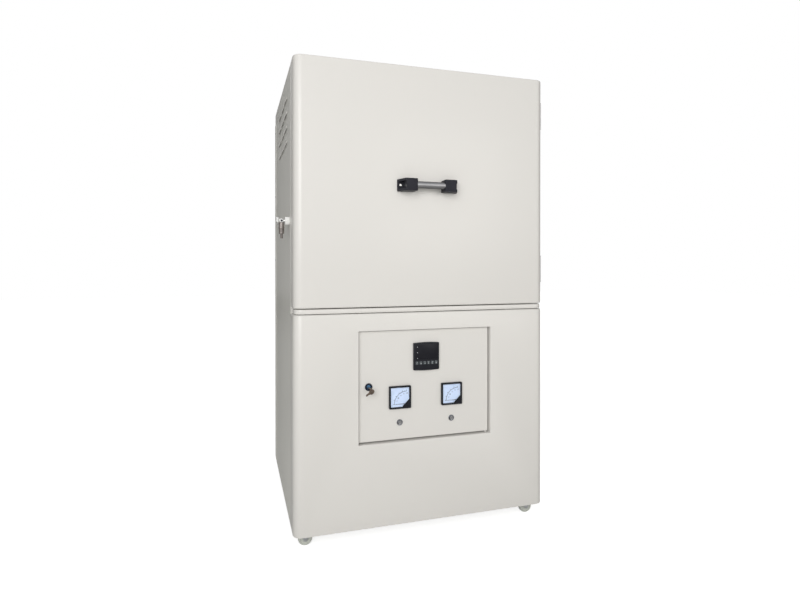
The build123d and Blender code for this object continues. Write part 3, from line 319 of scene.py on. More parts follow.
def buildDust():
    # thin dust on faces that look up, broken up by noise
    tree, given, result = shaderGroup(
        "restingDust", ("Color", "Color"), Color=("Color", (0.8, 0.8, 0.8, 1)),
        Dust=("Color", (0.6, 0.58, 0.53, 1)), Amount=("Float", 0.3),
    )
    surface = tree.nodes.new("ShaderNodeNewGeometry")
    split = tree.nodes.new("ShaderNodeSeparateXYZ")
    upward, patches = rangeNode(tree, 0.55, 1.0), rangeNode(tree, 0.25, 0.75)
    noise = noiseNode(tree, 5, 0.65)
    noise.inputs["Scale"].default_value = 14.0
    product, share, blend = mathNode(tree, "MULTIPLY"), mathNode(tree, "MULTIPLY"), blendNode(tree)
    wire(
        tree, (surface, "Normal", split, "Vector"), (split, "Z", upward, "Value"),
        (objectPlace(tree), "Object", noise, "Vector"), (noise, "Fac", patches, "Value"),
        (upward, "Result", product, 0), (patches, "Result", product, 1), (product, 0, share, 0),
        (given, "Amount", share, 1), (share, 0, blend, "Factor"), (given, "Color", blend, "A"),
        (given, "Dust", blend, "B"), (blend, "Result", result, "Color"),
    )
    return tree


colourDrift, smudges, surfaceGrain, restingDust = buildDrift(), buildSmudges(), buildGrain(), buildDust()


def useGroup(tree, group, **values):
    return addNode(tree, "ShaderNodeGroup", values, node_tree=group)


def newMaterial(name):
    material = bpy.data.materials.new(name)
    material.use_nodes = True
    return material, material.node_tree


def edgeShade(tree, source, tone):
    # painted shade: a darker tone mixed in where the surface turns away from the view
    facing = addNode(tree, "ShaderNodeLayerWeight", {"Blend": 0.72})
    blend = blendNode(tree)
    blend.inputs["B"].default_value = tone
    wire(tree, (facing, "Facing", blend, "Factor"), (source, "Color", blend, "A"))
    return blend


def makeFinish(name, look):
    # one finish: colour drift, an optional painted rim shade, dust, wandering roughness and fine relief
    material, tree = newMaterial(name)
    shader = tree.nodes["Principled BSDF"]
    for label, key, usual in (
        ("Metallic", "metal", 0.0), ("Coat Weight", "coat", 0.0), ("Coat Roughness", "coatRough", 0.1),
        ("Specular IOR Level", "specular", 0.5),
    ):
        shader.inputs[label].default_value = look.get(key, usual)
    painted = useGroup(tree, colourDrift, Base=(*look["base"], 1), Tint=(*look["tint"], 1),
                       Scale=look["driftScale"], Amount=look["drift"])
    outlet = "Color"
    # the edge tone is painted shade, darkening rims that turn away from the view
    if "edge" in look:
        painted, outlet = edgeShade(tree, painted, (*look["edge"], 1)), "Result"
    dust = useGroup(tree, restingDust, Amount=look.get("dust", 0.0))
    low, high = look["rough"]
    smudge = useGroup(tree, smudges, Scale=9.0, Low=low, High=high)
    grain = useGroup(tree, surfaceGrain, Scale=look["grainScale"], Stretch=look.get("stretch", (1, 1, 1)))
    bump = addNode(tree, "ShaderNodeBump", {"Strength": look["relief"], "Distance": look.get("reliefDepth", 0.0004)})
    wire(
        tree, (painted, outlet, dust, "Color"), (dust, "Color", shader, "Base Color"),
        (smudge, "Roughness", shader, "Roughness"), (grain, "Height", bump, "Height"),
        (bump, "Normal", shader, "Normal"),
    )
    return material


printed = dict(drift=0.5, driftScale=80, rough=(0.5, 0.6), grainScale=2000, relief=0.03)
finishes = {
    "enamel": dict(
        base=(0.745, 0.73, 0.70), tint=(0.73, 0.715, 0.69), drift=0.5, driftScale=1.6, rough=(0.32, 0.37),
        grainScale=420, relief=0.03, coat=0.15, coatRough=0.16, dust=0.05,
    ),
    # a darker copy of the enamel, painted shade for the dim sides and rear of the same cream cabinet
    "sideEnamel": dict(
        base=(0.70, 0.695, 0.655), tint=(0.68, 0.675, 0.64), drift=0.5, driftScale=2.0, rough=(0.36, 0.42),
        grainScale=420, relief=0.03, coat=0.1, coatRough=0.2, specular=0.3, dust=0.05,
    ),
    "panSteel": dict(
        base=(0.42, 0.42, 0.41), tint=(0.34, 0.34, 0.335), drift=0.7, driftScale=9, rough=(0.45, 0.62), grainScale=300,
        relief=0.12, dust=0.3,
    ),
    "galvanised": dict(
        base=(0.60, 0.61, 0.62), tint=(0.48, 0.50, 0.52), drift=0.9, driftScale=38, rough=(0.32, 0.5), metal=0.85,
        grainScale=220, relief=0.06, dust=0.15,
    ),
    "fibreBoard": dict(
        base=(0.86, 0.83, 0.77), tint=(0.78, 0.73, 0.65), drift=0.6, driftScale=14, rough=(0.86, 0.97), grainScale=900,
        relief=0.55, reliefDepth=0.0009, specular=0.15,
    ),
    "hearthCeramic": dict(
        base=(0.70, 0.63, 0.53), tint=(0.55, 0.47, 0.38), drift=0.7, driftScale=11, rough=(0.7, 0.88), grainScale=600,
        relief=0.35, reliefDepth=0.0006, specular=0.25, dust=0.15,
    ),
    "elementRod": dict(
        base=(0.10, 0.095, 0.095), tint=(0.19, 0.18, 0.17), drift=0.8, driftScale=60, rough=(0.45, 0.65), metal=0.35,
        grainScale=700, relief=0.2, dust=0.15,
    ),
    "probeCeramic": dict(
        base=(0.82, 0.77, 0.70), tint=(0.70, 0.66, 0.60), drift=0.5, driftScale=30, rough=(0.4, 0.6), grainScale=500,
        relief=0.1, dust=0.15,
    ),
    "bracketBlack": dict(
        base=(0.014, 0.014, 0.020), tint=(0.022, 0.022, 0.030), drift=0.8, driftScale=40, rough=(0.42, 0.55),
        grainScale=1500, relief=0.15, dust=0.02, specular=0.2,
    ),
    # the tube's edge tone is painted shade for its dark top and bottom rims
    "tubeAlloy": dict(
        base=(0.36, 0.36, 0.37), tint=(0.30, 0.30, 0.31), drift=0.7, driftScale=25, rough=(0.3, 0.42), metal=0.95,
        grainScale=900, stretch=(0.03, 1, 1), relief=0.2, edge=(0.05, 0.05, 0.055),
    ),
    "hingeSteel": dict(
        base=(0.50, 0.50, 0.50), tint=(0.40, 0.40, 0.41), drift=0.7, driftScale=40, rough=(0.24, 0.42), metal=0.95,
        grainScale=900, stretch=(1, 1, 0.08), relief=0.12,
    ),
    "instrumentBlack": dict(
        base=(0.009, 0.010, 0.014), tint=(0.014, 0.015, 0.021), drift=0.7, driftScale=50, rough=(0.36, 0.48),
        grainScale=1800, relief=0.08, dust=0.02, specular=0.2,
    ),
    "keyRubber": dict(
        base=(0.045, 0.055, 0.062), tint=(0.07, 0.08, 0.088), drift=0.6, driftScale=90, rough=(0.5, 0.66),
        grainScale=2500, relief=0.15, dust=0.03,
    ),
    "dialPaper": dict(
        base=(0.66, 0.77, 0.97), tint=(0.60, 0.71, 0.95), drift=0.5, driftScale=25, rough=(0.5, 0.62), grainScale=2500,
        relief=0.04,
    ),
    "printBlue": dict(base=(0.10, 0.15, 0.24), tint=(0.16, 0.21, 0.30), **printed),
    "printBlack": dict(base=(0.03, 0.04, 0.06), tint=(0.05, 0.06, 0.09), **printed),
    "printPale": dict(base=(0.62, 0.66, 0.68), tint=(0.52, 0.56, 0.58), **printed),
    "polished": dict(
        base=(0.36, 0.36, 0.37), tint=(0.28, 0.28, 0.29), drift=0.5, driftScale=40, rough=(0.16, 0.3), metal=1.0,
        grainScale=1200, relief=0.05,
    ),
    "darkChrome": dict(
        base=(0.26, 0.27, 0.29), tint=(0.18, 0.19, 0.21), drift=0.7, driftScale=60, rough=(0.12, 0.24), metal=1.0,
        grainScale=1200, relief=0.05,
    ),
    "lockBlue": dict(
        base=(0.006, 0.012, 0.028), tint=(0.010, 0.018, 0.036), drift=0.7, driftScale=60, rough=(0.2, 0.32),
        grainScale=1200, relief=0.05, specular=0.3,
    ),
    "plugBlue": dict(
        base=(0.16, 0.36, 0.62), tint=(0.09, 0.22, 0.42), drift=0.7, driftScale=90, rough=(0.2, 0.32), metal=0.9,
        grainScale=1200, relief=0.05,
    ),
    "wornBrass": dict(
        base=(0.16, 0.12, 0.095), tint=(0.09, 0.075, 0.065), drift=0.9, driftScale=90, rough=(0.34, 0.5), metal=0.9,
        grainScale=1400, relief=0.15,
    ),
    "nutNylon": dict(
        base=(0.94, 0.94, 0.93), tint=(0.90, 0.90, 0.89), drift=0.5, driftScale=60, rough=(0.3, 0.42), grainScale=1200,
        relief=0.05,
    ),
    "nickel": dict(
        base=(0.80, 0.80, 0.79), tint=(0.70, 0.70, 0.68), drift=0.6, driftScale=50, rough=(0.14, 0.28), metal=0.9,
        grainScale=900, relief=0.06,
    ),
    "agedZinc": dict(
        base=(0.30, 0.27, 0.255), tint=(0.22, 0.20, 0.19), drift=0.8, driftScale=70, rough=(0.35, 0.52), metal=0.7,
        grainScale=900, relief=0.15,
    ),
    "fanPlastic": dict(
        base=(0.018, 0.018, 0.018), tint=(0.03, 0.03, 0.03), drift=0.7, driftScale=30, rough=(0.4, 0.55),
        grainScale=900, relief=0.15, dust=0.25,
    ),
    "glandNylon": dict(
        base=(0.03, 0.03, 0.032), tint=(0.05, 0.05, 0.052), drift=0.6, driftScale=60, rough=(0.38, 0.5),
        grainScale=1200, relief=0.1, dust=0.1,
    ),
    "coreSteel": dict(
        base=(0.12, 0.115, 0.11), tint=(0.19, 0.17, 0.15), drift=0.7, driftScale=30, rough=(0.5, 0.7), metal=0.3,
        grainScale=500, stretch=(0.1, 6, 0.1), relief=0.5, dust=0.2,
    ),
    "coilVarnish": dict(
        base=(0.33, 0.14, 0.05), tint=(0.22, 0.09, 0.035), drift=0.7, driftScale=30, rough=(0.28, 0.42),
        grainScale=420, stretch=(0.05, 0.05, 3), relief=0.8, dust=0.1,
    ),
    "sinkAlloy": dict(
        base=(0.58, 0.59, 0.60), tint=(0.48, 0.49, 0.50), drift=0.6, driftScale=30, rough=(0.35, 0.5), metal=0.9,
        grainScale=700, stretch=(1, 1, 0.05), relief=0.15, dust=0.15,
    ),
    "forkZinc": dict(
        base=(0.58, 0.59, 0.60), tint=(0.46, 0.48, 0.49), drift=0.8, driftScale=60, rough=(0.28, 0.44), metal=0.9,
        grainScale=900, relief=0.1, dust=0.2,
    ),
    "wheelPale": dict(
        base=(0.62, 0.64, 0.59), tint=(0.52, 0.54, 0.50), drift=0.7, driftScale=45, rough=(0.35, 0.55), grainScale=900,
        relief=0.15, dust=0.2,
    ),
    "smokedLens": dict(
        base=(0.008, 0.008, 0.012), tint=(0.012, 0.012, 0.017), drift=0.6, driftScale=40, rough=(0.3, 0.38),
        grainScale=900, relief=0.02, specular=0.2,
    ),
    "wovenRope": dict(
        base=(0.80, 0.77, 0.68), tint=(0.66, 0.62, 0.53), drift=0.7, driftScale=25, rough=(0.8, 0.95), grainScale=1500,
        relief=0.8, reliefDepth=0.0012, specular=0.2,
    ),
}


def makeRope(look):
    # woven glass rope: two crossing waves over the drifted colour
    material = makeFinish("wovenRope", look)
    tree = material.node_tree
    crossing = mathNode(tree, "MULTIPLY")
    for entry, turn in enumerate((38, -38)):
        mapping = addNode(tree, "ShaderNodeMapping", {"Rotation": (0, math.radians(turn), 0)})
        wave = addNode(tree, "ShaderNodeTexWave", {"Scale": 130.0, "Distortion": 1.2})
        wire(tree, (objectPlace(tree), "Object", mapping, "Vector"), (mapping, "Vector", wave, "Vector"),
             (wave, "Fac", crossing, entry))
    bump = next(node for node in tree.nodes if node.type == "BUMP")
    wire(tree, (crossing, 0, bump, "Height"))
    return material


def makeWindow(name, tone):
    material, tree = newMaterial(name)
    shader = tree.nodes["Principled BSDF"]
    for label, value in (("Base Color", tone), ("Transmission Weight", 1.0), ("IOR", 1.12)):
        shader.inputs[label].default_value = value
    wire(tree, (useGroup(tree, smudges, Scale=30.0, Low=0.0, High=0.05), "Roughness", shader, "Roughness"))
    return material


finish = {name: makeFinish(name, look) for name, look in finishes.items() if name != "wovenRope"}
finish["wovenRope"] = makeRope(finishes["wovenRope"])
finish["meterWindow"] = makeWindow("meterWindow", (0.98, 0.99, 1.0, 1))
print("stage: finishes ready")

# finishes of the solids, by the starts of their names; the longest start that fits holds
solidFinish = dict(
    # the side and rear panels take the darker enamel copy, which is painted shade
    enamel="mouth_frame top_panel lower_front_panel door_skin control_door", sideEnamel="rear_panel side_panel",
    panSteel="base_pan", galvanised="mid_deck furnace_shell door_back_plate", fibreBoard="insulation door_plug",
    hearthCeramic="hearth_plate", elementRod="heater", probeCeramic="thermocouple", hingeSteel="door_hinge",
    nickel="gas_valve", fanPlastic="fan", glandNylon="cable_gland", coreSteel="transformer",
    sinkAlloy="power_controller", wovenRope="door_seal", bracketBlack="handle_bracket", tubeAlloy="handle_tube",
    instrumentBlack="controller ammeter voltmeter", printBlack="ammeter_needle voltmeter_needle",
    darkChrome="button_bezel door_lock", polished="push_button", wornBrass="lock_plug", forkZinc="caster_fork",
    wheelPale="caster_wheel", keyRubber="controller_key",
)
nameStarts = {start: coat for coat, starts in solidFinish.items() for start in starts.split()}
for name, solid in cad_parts.items():
    fitting = max((start for start in nameStarts if name.startswith(start)), key=len)
    solid.data.materials.clear()
    solid.data.materials.append(finish[nameStarts[fitting]])
print("stage: solids finished")

# camera at the height and angle of the view
view = dict(eye=(-0.659, -2.211, 0.970), turn=17.07, tilt=0.24, focalPixels=542.0, centreRow=265.06,
            imageSize=(800, 600), sensor=36.0)


def addCamera():
    width, height = view["imageSize"]
    data = bpy.data.cameras.new("viewCamera")
    data.sensor_width = view["sensor"]
    data.lens = view["focalPixels"] / width * view["sensor"]
    data.shift_y = (view["centreRow"] - height / 2) / width
    camera = addObject("viewCamera", data)
    camera.location = view["eye"]
    camera.rotation_euler = (math.radians(90 - view["tilt"]), 0, math.radians(-view["turn"]))
    scene.camera = camera


# floor, world, lamps and cards
lighting = dict(
    world=0.43, worldTone=(1.0, 0.995, 0.985, 1), floorSize=14.0, floorTone=(0.8, 0.8, 0.79, 1), floorLift=0.76,
    lamps=dict(  # place, target, size, power and tone
        windowKey=((-2.6, -4.9, 2.3), (0, -0.3, 0.85), (3.0, 3.0), 142.0, (1.0, 0.995, 0.985)),
        warmFill=((1.9, -4.9, 1.7), (0.2, -0.4, 1.0), (1.8, 2.8), 30.0, (1.0, 0.97, 0.92)),
    ),
    cards=dict(leftCard=((-1.5, -0.2), (-0.9, 3.4)), rightCard=((1.4, -0.6), (2.4, 2.8))),  # near and far ends
    cardLevels=(0.45, 3.2), cardTone=(0.27, 0.265, 0.25, 1),
)


def buildWorld():
    # white to the camera and in glass and gloss, a plain level of light elsewhere
    world = bpy.data.worlds.new("paleRoom")
    scene.world = world
    world.use_nodes = True
    tree = world.node_tree
    ambient = tree.nodes["Background"]
    ambient.inputs["Color"].default_value = lighting["worldTone"]
    ambient.inputs["Strength"].default_value = lighting["world"]
    white = addNode(tree, "ShaderNodeBackground", {"Color": (1, 1, 1, 1), "Strength": 1.0})
    path = tree.nodes.new("ShaderNodeLightPath")
    seen, clear = mathNode(tree, "MAXIMUM"), mathNode(tree, "MAXIMUM")
    mix = tree.nodes.new("ShaderNodeMixShader")
    wire(
        tree, (path, "Is Camera Ray", seen, 0), (path, "Is Transmission Ray", seen, 1), (seen, 0, clear, 0),
        (path, "Is Glossy Ray", clear, 1), (clear, 0, mix, 0), (ambient, 0, mix, 1), (white, 0, mix, 2),
        (mix, 0, tree.nodes["World Output"], "Surface"),
    )


def addSheet(name, corners, tone, finalKind):
    # a plain sheet of the stage; the caller joins its diffuse shader to the final one
    material, tree = newMaterial(name)
    tree.nodes.remove(tree.nodes["Principled BSDF"])
    plain = addNode(tree, "ShaderNodeBsdfDiffuse", {"Color": tone})
    final = tree.nodes.new(finalKind)
    wire(tree, (final, 0, tree.nodes["Material Output"], "Surface"))
    mesh = bpy.data.meshes.new(name)
    mesh.from_pydata(corners, [], [(0, 1, 2, 3)])
    mesh.materials.append(material)
    sheet = addObject(name, mesh)
    return tree, tree.nodes.new("ShaderNodeLightPath"), plain, final


def addFloor():
    # white where it is lit, and it keeps the shadow
    size = lighting["floorSize"]
    corners = [(-size, -size, 0), (size, -size, 0), (size, size, 0), (-size, size, 0)]
    tree, path, plain, total = addSheet("floor", corners, lighting["floorTone"], "ShaderNodeAddShader")
    glow = tree.nodes.new("ShaderNodeEmission")
    amount = mathNode(tree, "MULTIPLY", lighting["floorLift"])
    wire(tree, (path, "Is Camera Ray", amount, 0), (amount, 0, glow, "Strength"), (plain, 0, total, 0),
         (glow, 0, total, 1))


def addCard(name, nearEnd, farEnd):
    # dark upright card beside the cabinet, clear to the camera, as a room wall would be
    bottom, top = lighting["cardLevels"]
    corners = [(*nearEnd, bottom), (*farEnd, bottom), (*farEnd, top), (*nearEnd, top)]
    tree, path, plain, mix = addSheet(name, corners, lighting["cardTone"], "ShaderNodeMixShader")
    clear = tree.nodes.new("ShaderNodeBsdfTransparent")
    wire(tree, (path, "Is Camera Ray", mix, 0), (plain, 0, mix, 1), (clear, 0, mix, 2))


def addLamp(name, place, target, size, power, tone):
    data = bpy.data.lights.new(name, "AREA")
    data.shape = "RECTANGLE"
    data.size, data.size_y = size
    data.energy = power
    data.color = tone
    lamp = addObject(name, data)
    lamp.location = place
    lamp.rotation_euler = (Vector(target) - Vector(place)).to_track_quat("-Z", "Y").to_euler()


scene.view_settings.view_transform = "Standard"
addCamera()
buildWorld()
addFloor()
for name, settings in lighting["lamps"].items():
    addLamp(name, *settings)
for name, ends in lighting["cards"].items():
    addCard(name, *ends)
print("stage: view and light ready")


# repeated things, grown by geometry nodes
def growTree(name, sockets):
    tree = bpy.data.node_groups.new(name, "GeometryNodeTree")
    tree.is_modifier = True
    tree.interface.new_socket("Geometry", in_out="INPUT", socket_type="NodeSocketGeometry")
    ids = {}
    for label, kind in sockets.items():
        ids[label] = tree.interface.new_socket(label, in_out="INPUT", socket_type="NodeSocket" + kind).identifier
    tree.interface.new_socket("Geometry", in_out="OUTPUT", socket_type="NodeSocketGeometry")
    return tree, ids, tree.nodes.new("NodeGroupInput")


def closeTree(tree, given, spread):
    realize = tree.nodes.new("GeometryNodeRealizeInstances")
    coat = tree.nodes.new("GeometryNodeSetMaterial")
    wire(
        tree, (spread, "Instances", realize, "Geometry"), (realize, "Geometry", coat, "Geometry"),
        (given, "Finish", coat, "Material"), (coat, "Geometry", tree.nodes.new("NodeGroupOutput"), "Geometry"),
    )


def buildGridTree():
    # the unit mesh, repeated on a grid in rows (along X) and columns (along Y), then turned and moved
    tree, ids, given = growTree("gridOfUnits", {
        "Rows": "Int", "Columns": "Int", "Row Pitch": "Float", "Column Pitch": "Float", "Turn": "Rotation",
        "Centre": "Vector", "Finish": "Material",
    })
    grid = tree.nodes.new("GeometryNodeMeshGrid")
    for count, pitch, side in (("Rows", "Row Pitch", "X"), ("Columns", "Column Pitch", "Y")):
        steps, span = mathNode(tree, "SUBTRACT", 1.0), mathNode(tree, "MULTIPLY")
        wire(tree, (given, count, steps, 0), (steps, 0, span, 0), (given, pitch, span, 1),
             (span, 0, grid, "Size " + side), (given, count, grid, "Vertices " + side))
    place = tree.nodes.new("GeometryNodeTransform")
    spread = tree.nodes.new("GeometryNodeInstanceOnPoints")
    wire(
        tree, (grid, "Mesh", place, "Geometry"), (given, "Turn", place, "Rotation"),
        (given, "Centre", place, "Translation"), (place, "Geometry", spread, "Points"),
        (given, "Geometry", spread, "Instance"),
    )
    closeTree(tree, given, spread)
    return tree, ids


def buildScrewTree():
    # socket-head screws on the points of the mesh, all facing one way
    tree, ids, given = growTree("screwsOnPoints", {
        "Radius": "Float", "Height": "Float", "Socket": "Float", "Facing": "Vector", "Finish": "Material",
    })
    step, outlet, chosen = addNode(tree, "GeometryNodeMeshCircle", {"Vertices": 18}, fill_type="NGON"), "Mesh", None
    wire(tree, (given, "Radius", step, "Radius"))
    for rise, shrink in ((0.7, 1.0), (0.3, 0.82), (0.0, None), (-0.6, 0.96)):
        extrude = addNode(tree, "GeometryNodeExtrudeMesh", mode="FACES")
        lift = mathNode(tree, "MULTIPLY", rise)
        scale = tree.nodes.new("GeometryNodeScaleElements")
        wire(tree, (given, "Height", lift, 0), (lift, 0, extrude, "Offset Scale"), (step, outlet, extrude, "Mesh"),
             (extrude, "Mesh", scale, "Geometry"), (extrude, "Top", scale, "Selection"))
        if chosen:
            wire(tree, (chosen, "Top", extrude, "Selection"))
        if shrink is None:
            wire(tree, (given, "Socket", scale, "Scale"))
        else:
            scale.inputs["Scale"].default_value = shrink
        step, outlet, chosen = scale, "Geometry", extrude
    turn = addNode(tree, "FunctionNodeAlignRotationToVector", axis="Z")
    spread = tree.nodes.new("GeometryNodeInstanceOnPoints")
    wire(
        tree, (given, "Facing", turn, "Vector"), (given, "Geometry", spread, "Points"),
        (step, outlet, spread, "Instance"), (turn, "Rotation", spread, "Rotation"),
    )
    closeTree(tree, given, spread)
    return tree, ids


gridTree, screwTree = buildGridTree(), buildScrewTree()


def growPiece(piece, treeAndInputs, values, sharpAngle=32):
    growth = piece.modifiers.new("growth", "NODES")
    growth.node_group, ids = treeAndInputs
    for label, value in values.items():
        growth[ids[label]] = value
    applyModifiers(piece)
    smoothShade(piece.data, sharpAngle)
    return piece


def gridPiece(name, unit, finishName, counts, pitches, centre, turn=(0, 0, 0), sharpAngle=32):
    # counts and pitches are along X and along Y
    return growPiece(newPiece(name, unit, finishName, sharpAngle), gridTree, {
        "Rows": counts[0], "Columns": counts[1], "Row Pitch": pitches[0] * millimetre,
        "Column Pitch": pitches[1] * millimetre, "Turn": turn,
        "Centre": tuple(value * millimetre for value in centre), "Finish": finish[finishName],
    }, sharpAngle)


def screwPiece(name, spots, facing, size, finishName, body, slotName, socket=0.5):
    # size is the head's radius and height
    mesh = bpy.data.meshes.new(name)
    mesh.from_pydata([tuple(value * millimetre for value in spot) for spot in spots], [], [])
    piece = growPiece(addObject(name, mesh), screwTree, {
        "Radius": size[0] * millimetre, "Height": size[1] * millimetre, "Socket": socket,
        "Facing": facing, "Finish": finish[finishName],
    })
    settle(piece, body, slotName)


# outer shells
cabinet = dict(
    cornerRadius=30.0, cornerSteps=14, edgeRadius=5.0, edgeSteps=4, sheet=2.0, halfWidth=470.0,
    jamb=38.0, leafInset=7, leafGap=(4.0, 5.0, 5.5, 3.0), lip=0.9,  # gaps left, right, below and above the leaf
    flange=25.0, flangeSetback=5.0, flangeFoot=106.0,
)


def trayShell(low, high, openBottom):
    # rounded tray: upright front corners first, then the level front edges
    bm = blockBetween(low, high)
    upright = [
        edge for edge in bm.edges
        if abs(edge.verts[0].co.z - edge.verts[1].co.z) > 1 and max(vert.co.y for vert in edge.verts) < low.y + 1
    ]
    roundEdges(bm, upright, cabinet["cornerRadius"], cabinet["cornerSteps"])
    levels = [high.z] if openBottom else [low.z, high.z]
    level = [
        edge for edge in bm.edges
        if any(all(abs(vert.co.z - z) < 0.01 for vert in edge.verts) for z in levels)
        and min(vert.co.y for vert in edge.verts) <= high.y - 0.01
    ]
    roundEdges(bm, level, cabinet["edgeRadius"], cabinet["edgeSteps"])
    doomed = [face for face in bm.faces if face.normal.y > 0.9 or (openBottom and face.normal.z < -0.9)]
    bmesh.ops.delete(bm, geom=doomed, context="FACES")
    return bm


def wallUp(piece):
    wall = piece.modifiers.new("wall", "SOLIDIFY")
    wall.thickness = cabinet["sheet"] * millimetre
    wall.offset = -1
    wall.use_even_offset = True
    applyModifiers(piece)
    smoothShade(piece.data)


def makeDoorShell():
    piece = newPiece("doorShell", trayShell(*nodeBox("door_skin"), False), "enamel")
    wallUp(piece)
    settle(piece, "furnace_door", "enamel", "door_skin")


def makeLowerFront():
    low, high = nodeBox("lower_front_panel")
    piece = newPiece("lowerFrontShell", trayShell(low, high, True), "enamel")
    wallUp(piece)
    leafLow, leafHigh = nodeBox("control_door")
    left, right, bottom, top = cabinet["leafGap"]
    inset, wall = cabinet["leafInset"], cabinet["sheet"]
    openLow = Vector((leafLow.x - left, low.y - 5, leafLow.z + inset - bottom))
    openHigh = Vector((leafHigh.x + right, low.y + 60, leafHigh.z - inset + top))
    cutter = bmesh.new()
    addBlock(cutter, openLow, openHigh)
    carve(piece, cutter)
    edges = piece.modifiers.new("lip", "BEVEL")
    edges.width = cabinet["lip"] * millimetre
    edges.segments = 2
    edges.limit_method = "ANGLE"
    edges.angle_limit = math.radians(50)
    applyModifiers(piece)
    smoothShade(piece.data)
    settle(piece, "cabinet", "enamel", "lower_front_panel")
    bm = bmesh.new()
    rings = []
    near, far = low.y + wall, low.y + cabinet["jamb"]
    for out, depth in ((0, near), (0, far), (wall, far), (wall, near)):
        x0, x1, z0, z1 = openLow.x - out, openHigh.x + out, openLow.z - out, openHigh.z + out
        rings.append([bm.verts.new((x, depth, z)) for x, z in ((x0, z0), (x1, z0), (x1, z1), (x0, z1))])
    skinRings(bm, rings + rings[:1])
    fitPiece("openingJamb", bm, "enamel", "cabinet", "enamel")


nosing = dict(inset=3.0, lowShare=0.1, highShare=0.84, reach=26.0, round=2.4)


def makeNosing():
    # folded front edge of the deck, showing in the gap under the door
    lowerTop = nodeBox("lower_front_panel")[1].z
    doorLow, doorHigh = nodeBox("door_skin")
    gap, inset, corner = doorLow.z - lowerTop, nosing["inset"], cabinet["cornerRadius"]
    low = Vector((doorLow.x + inset, doorLow.y + inset, lowerTop + gap * nosing["lowShare"]))
    high = Vector((doorHigh.x - inset, doorLow.y + corner + nosing["reach"], lowerTop + gap * nosing["highShare"]))
    radius = corner - inset
    points = [(high.x, high.y)]
    for centreX, start in ((high.x - radius, 0), (low.x + radius, -90)):
        for k in range(cabinet["cornerSteps"] + 1):
            u, v = polar(radius, start - 90 * k / cabinet["cornerSteps"])
            points.append((centreX + u, low.y + radius + v))
    points.append((low.x, high.y))
    bm = bmesh.new()
    addPrism(bm, points, (0, 0, low.z), ((1, 0, 0), (0, 1, 0)), high.z - low.z, nosing["round"])
    fitPiece("deckNosing", bm, "enamel", "cabinet", "enamel")


louvre = dict(
    rows=4, columns=3, rowPitch=54.0, columnPitch=120.0, length=104.0, height=14.0, rise=3.6, skin=1.2,
    topDrop=80.0, setback=220.0, slotLength=84.0, slotHeight=1.4, slotShare=0.12, cheek=10.0, spanSteps=26, riseSteps=8,
)


def hoodUnit(side):
    # one pressed louvre: flush at the top, swelling to an open lower lip, closed at the ends
    bm = bmesh.new()
    lines = []
    half = louvre["length"] / 2
    for step in range(louvre["spanSteps"] + 1):
        along = -half * math.cos(math.pi * step / louvre["spanSteps"])
        toEnd = min(1.0, (half - abs(along)) / louvre["cheek"])
        swell = math.sqrt(max(0.0, 1 - (1 - toEnd) ** 2))
        lines.append([])
        for rise in range(louvre["riseSteps"] + 1):
            share = rise / louvre["riseSteps"]
            out = louvre["rise"] * swell * math.sin(math.pi / 2 * share) ** 1.3
            down = louvre["height"] * (1 - share) + louvre["height"] * (1 - swell) * share * 0.5
            lines[-1].append(bm.verts.new((side * out, along, down)))
    for first, second in zip(lines, lines[1:]):
        for index in range(louvre["riseSteps"]):
            bm.faces.new((first[index], first[index + 1], second[index + 1], second[index]))
    bmesh.ops.remove_doubles(bm, verts=bm.verts, dist=0.001)
    bmesh.ops.recalc_face_normals(bm, faces=bm.faces)
    middle = max(bm.faces, key=lambda face: side * face.calc_center_median().x)
    if middle.normal.x * side < 0:
        bmesh.ops.reverse_faces(bm, faces=bm.faces)
    bmesh.ops.solidify(bm, geom=bm.faces[:], thickness=louvre["skin"])
    return bm


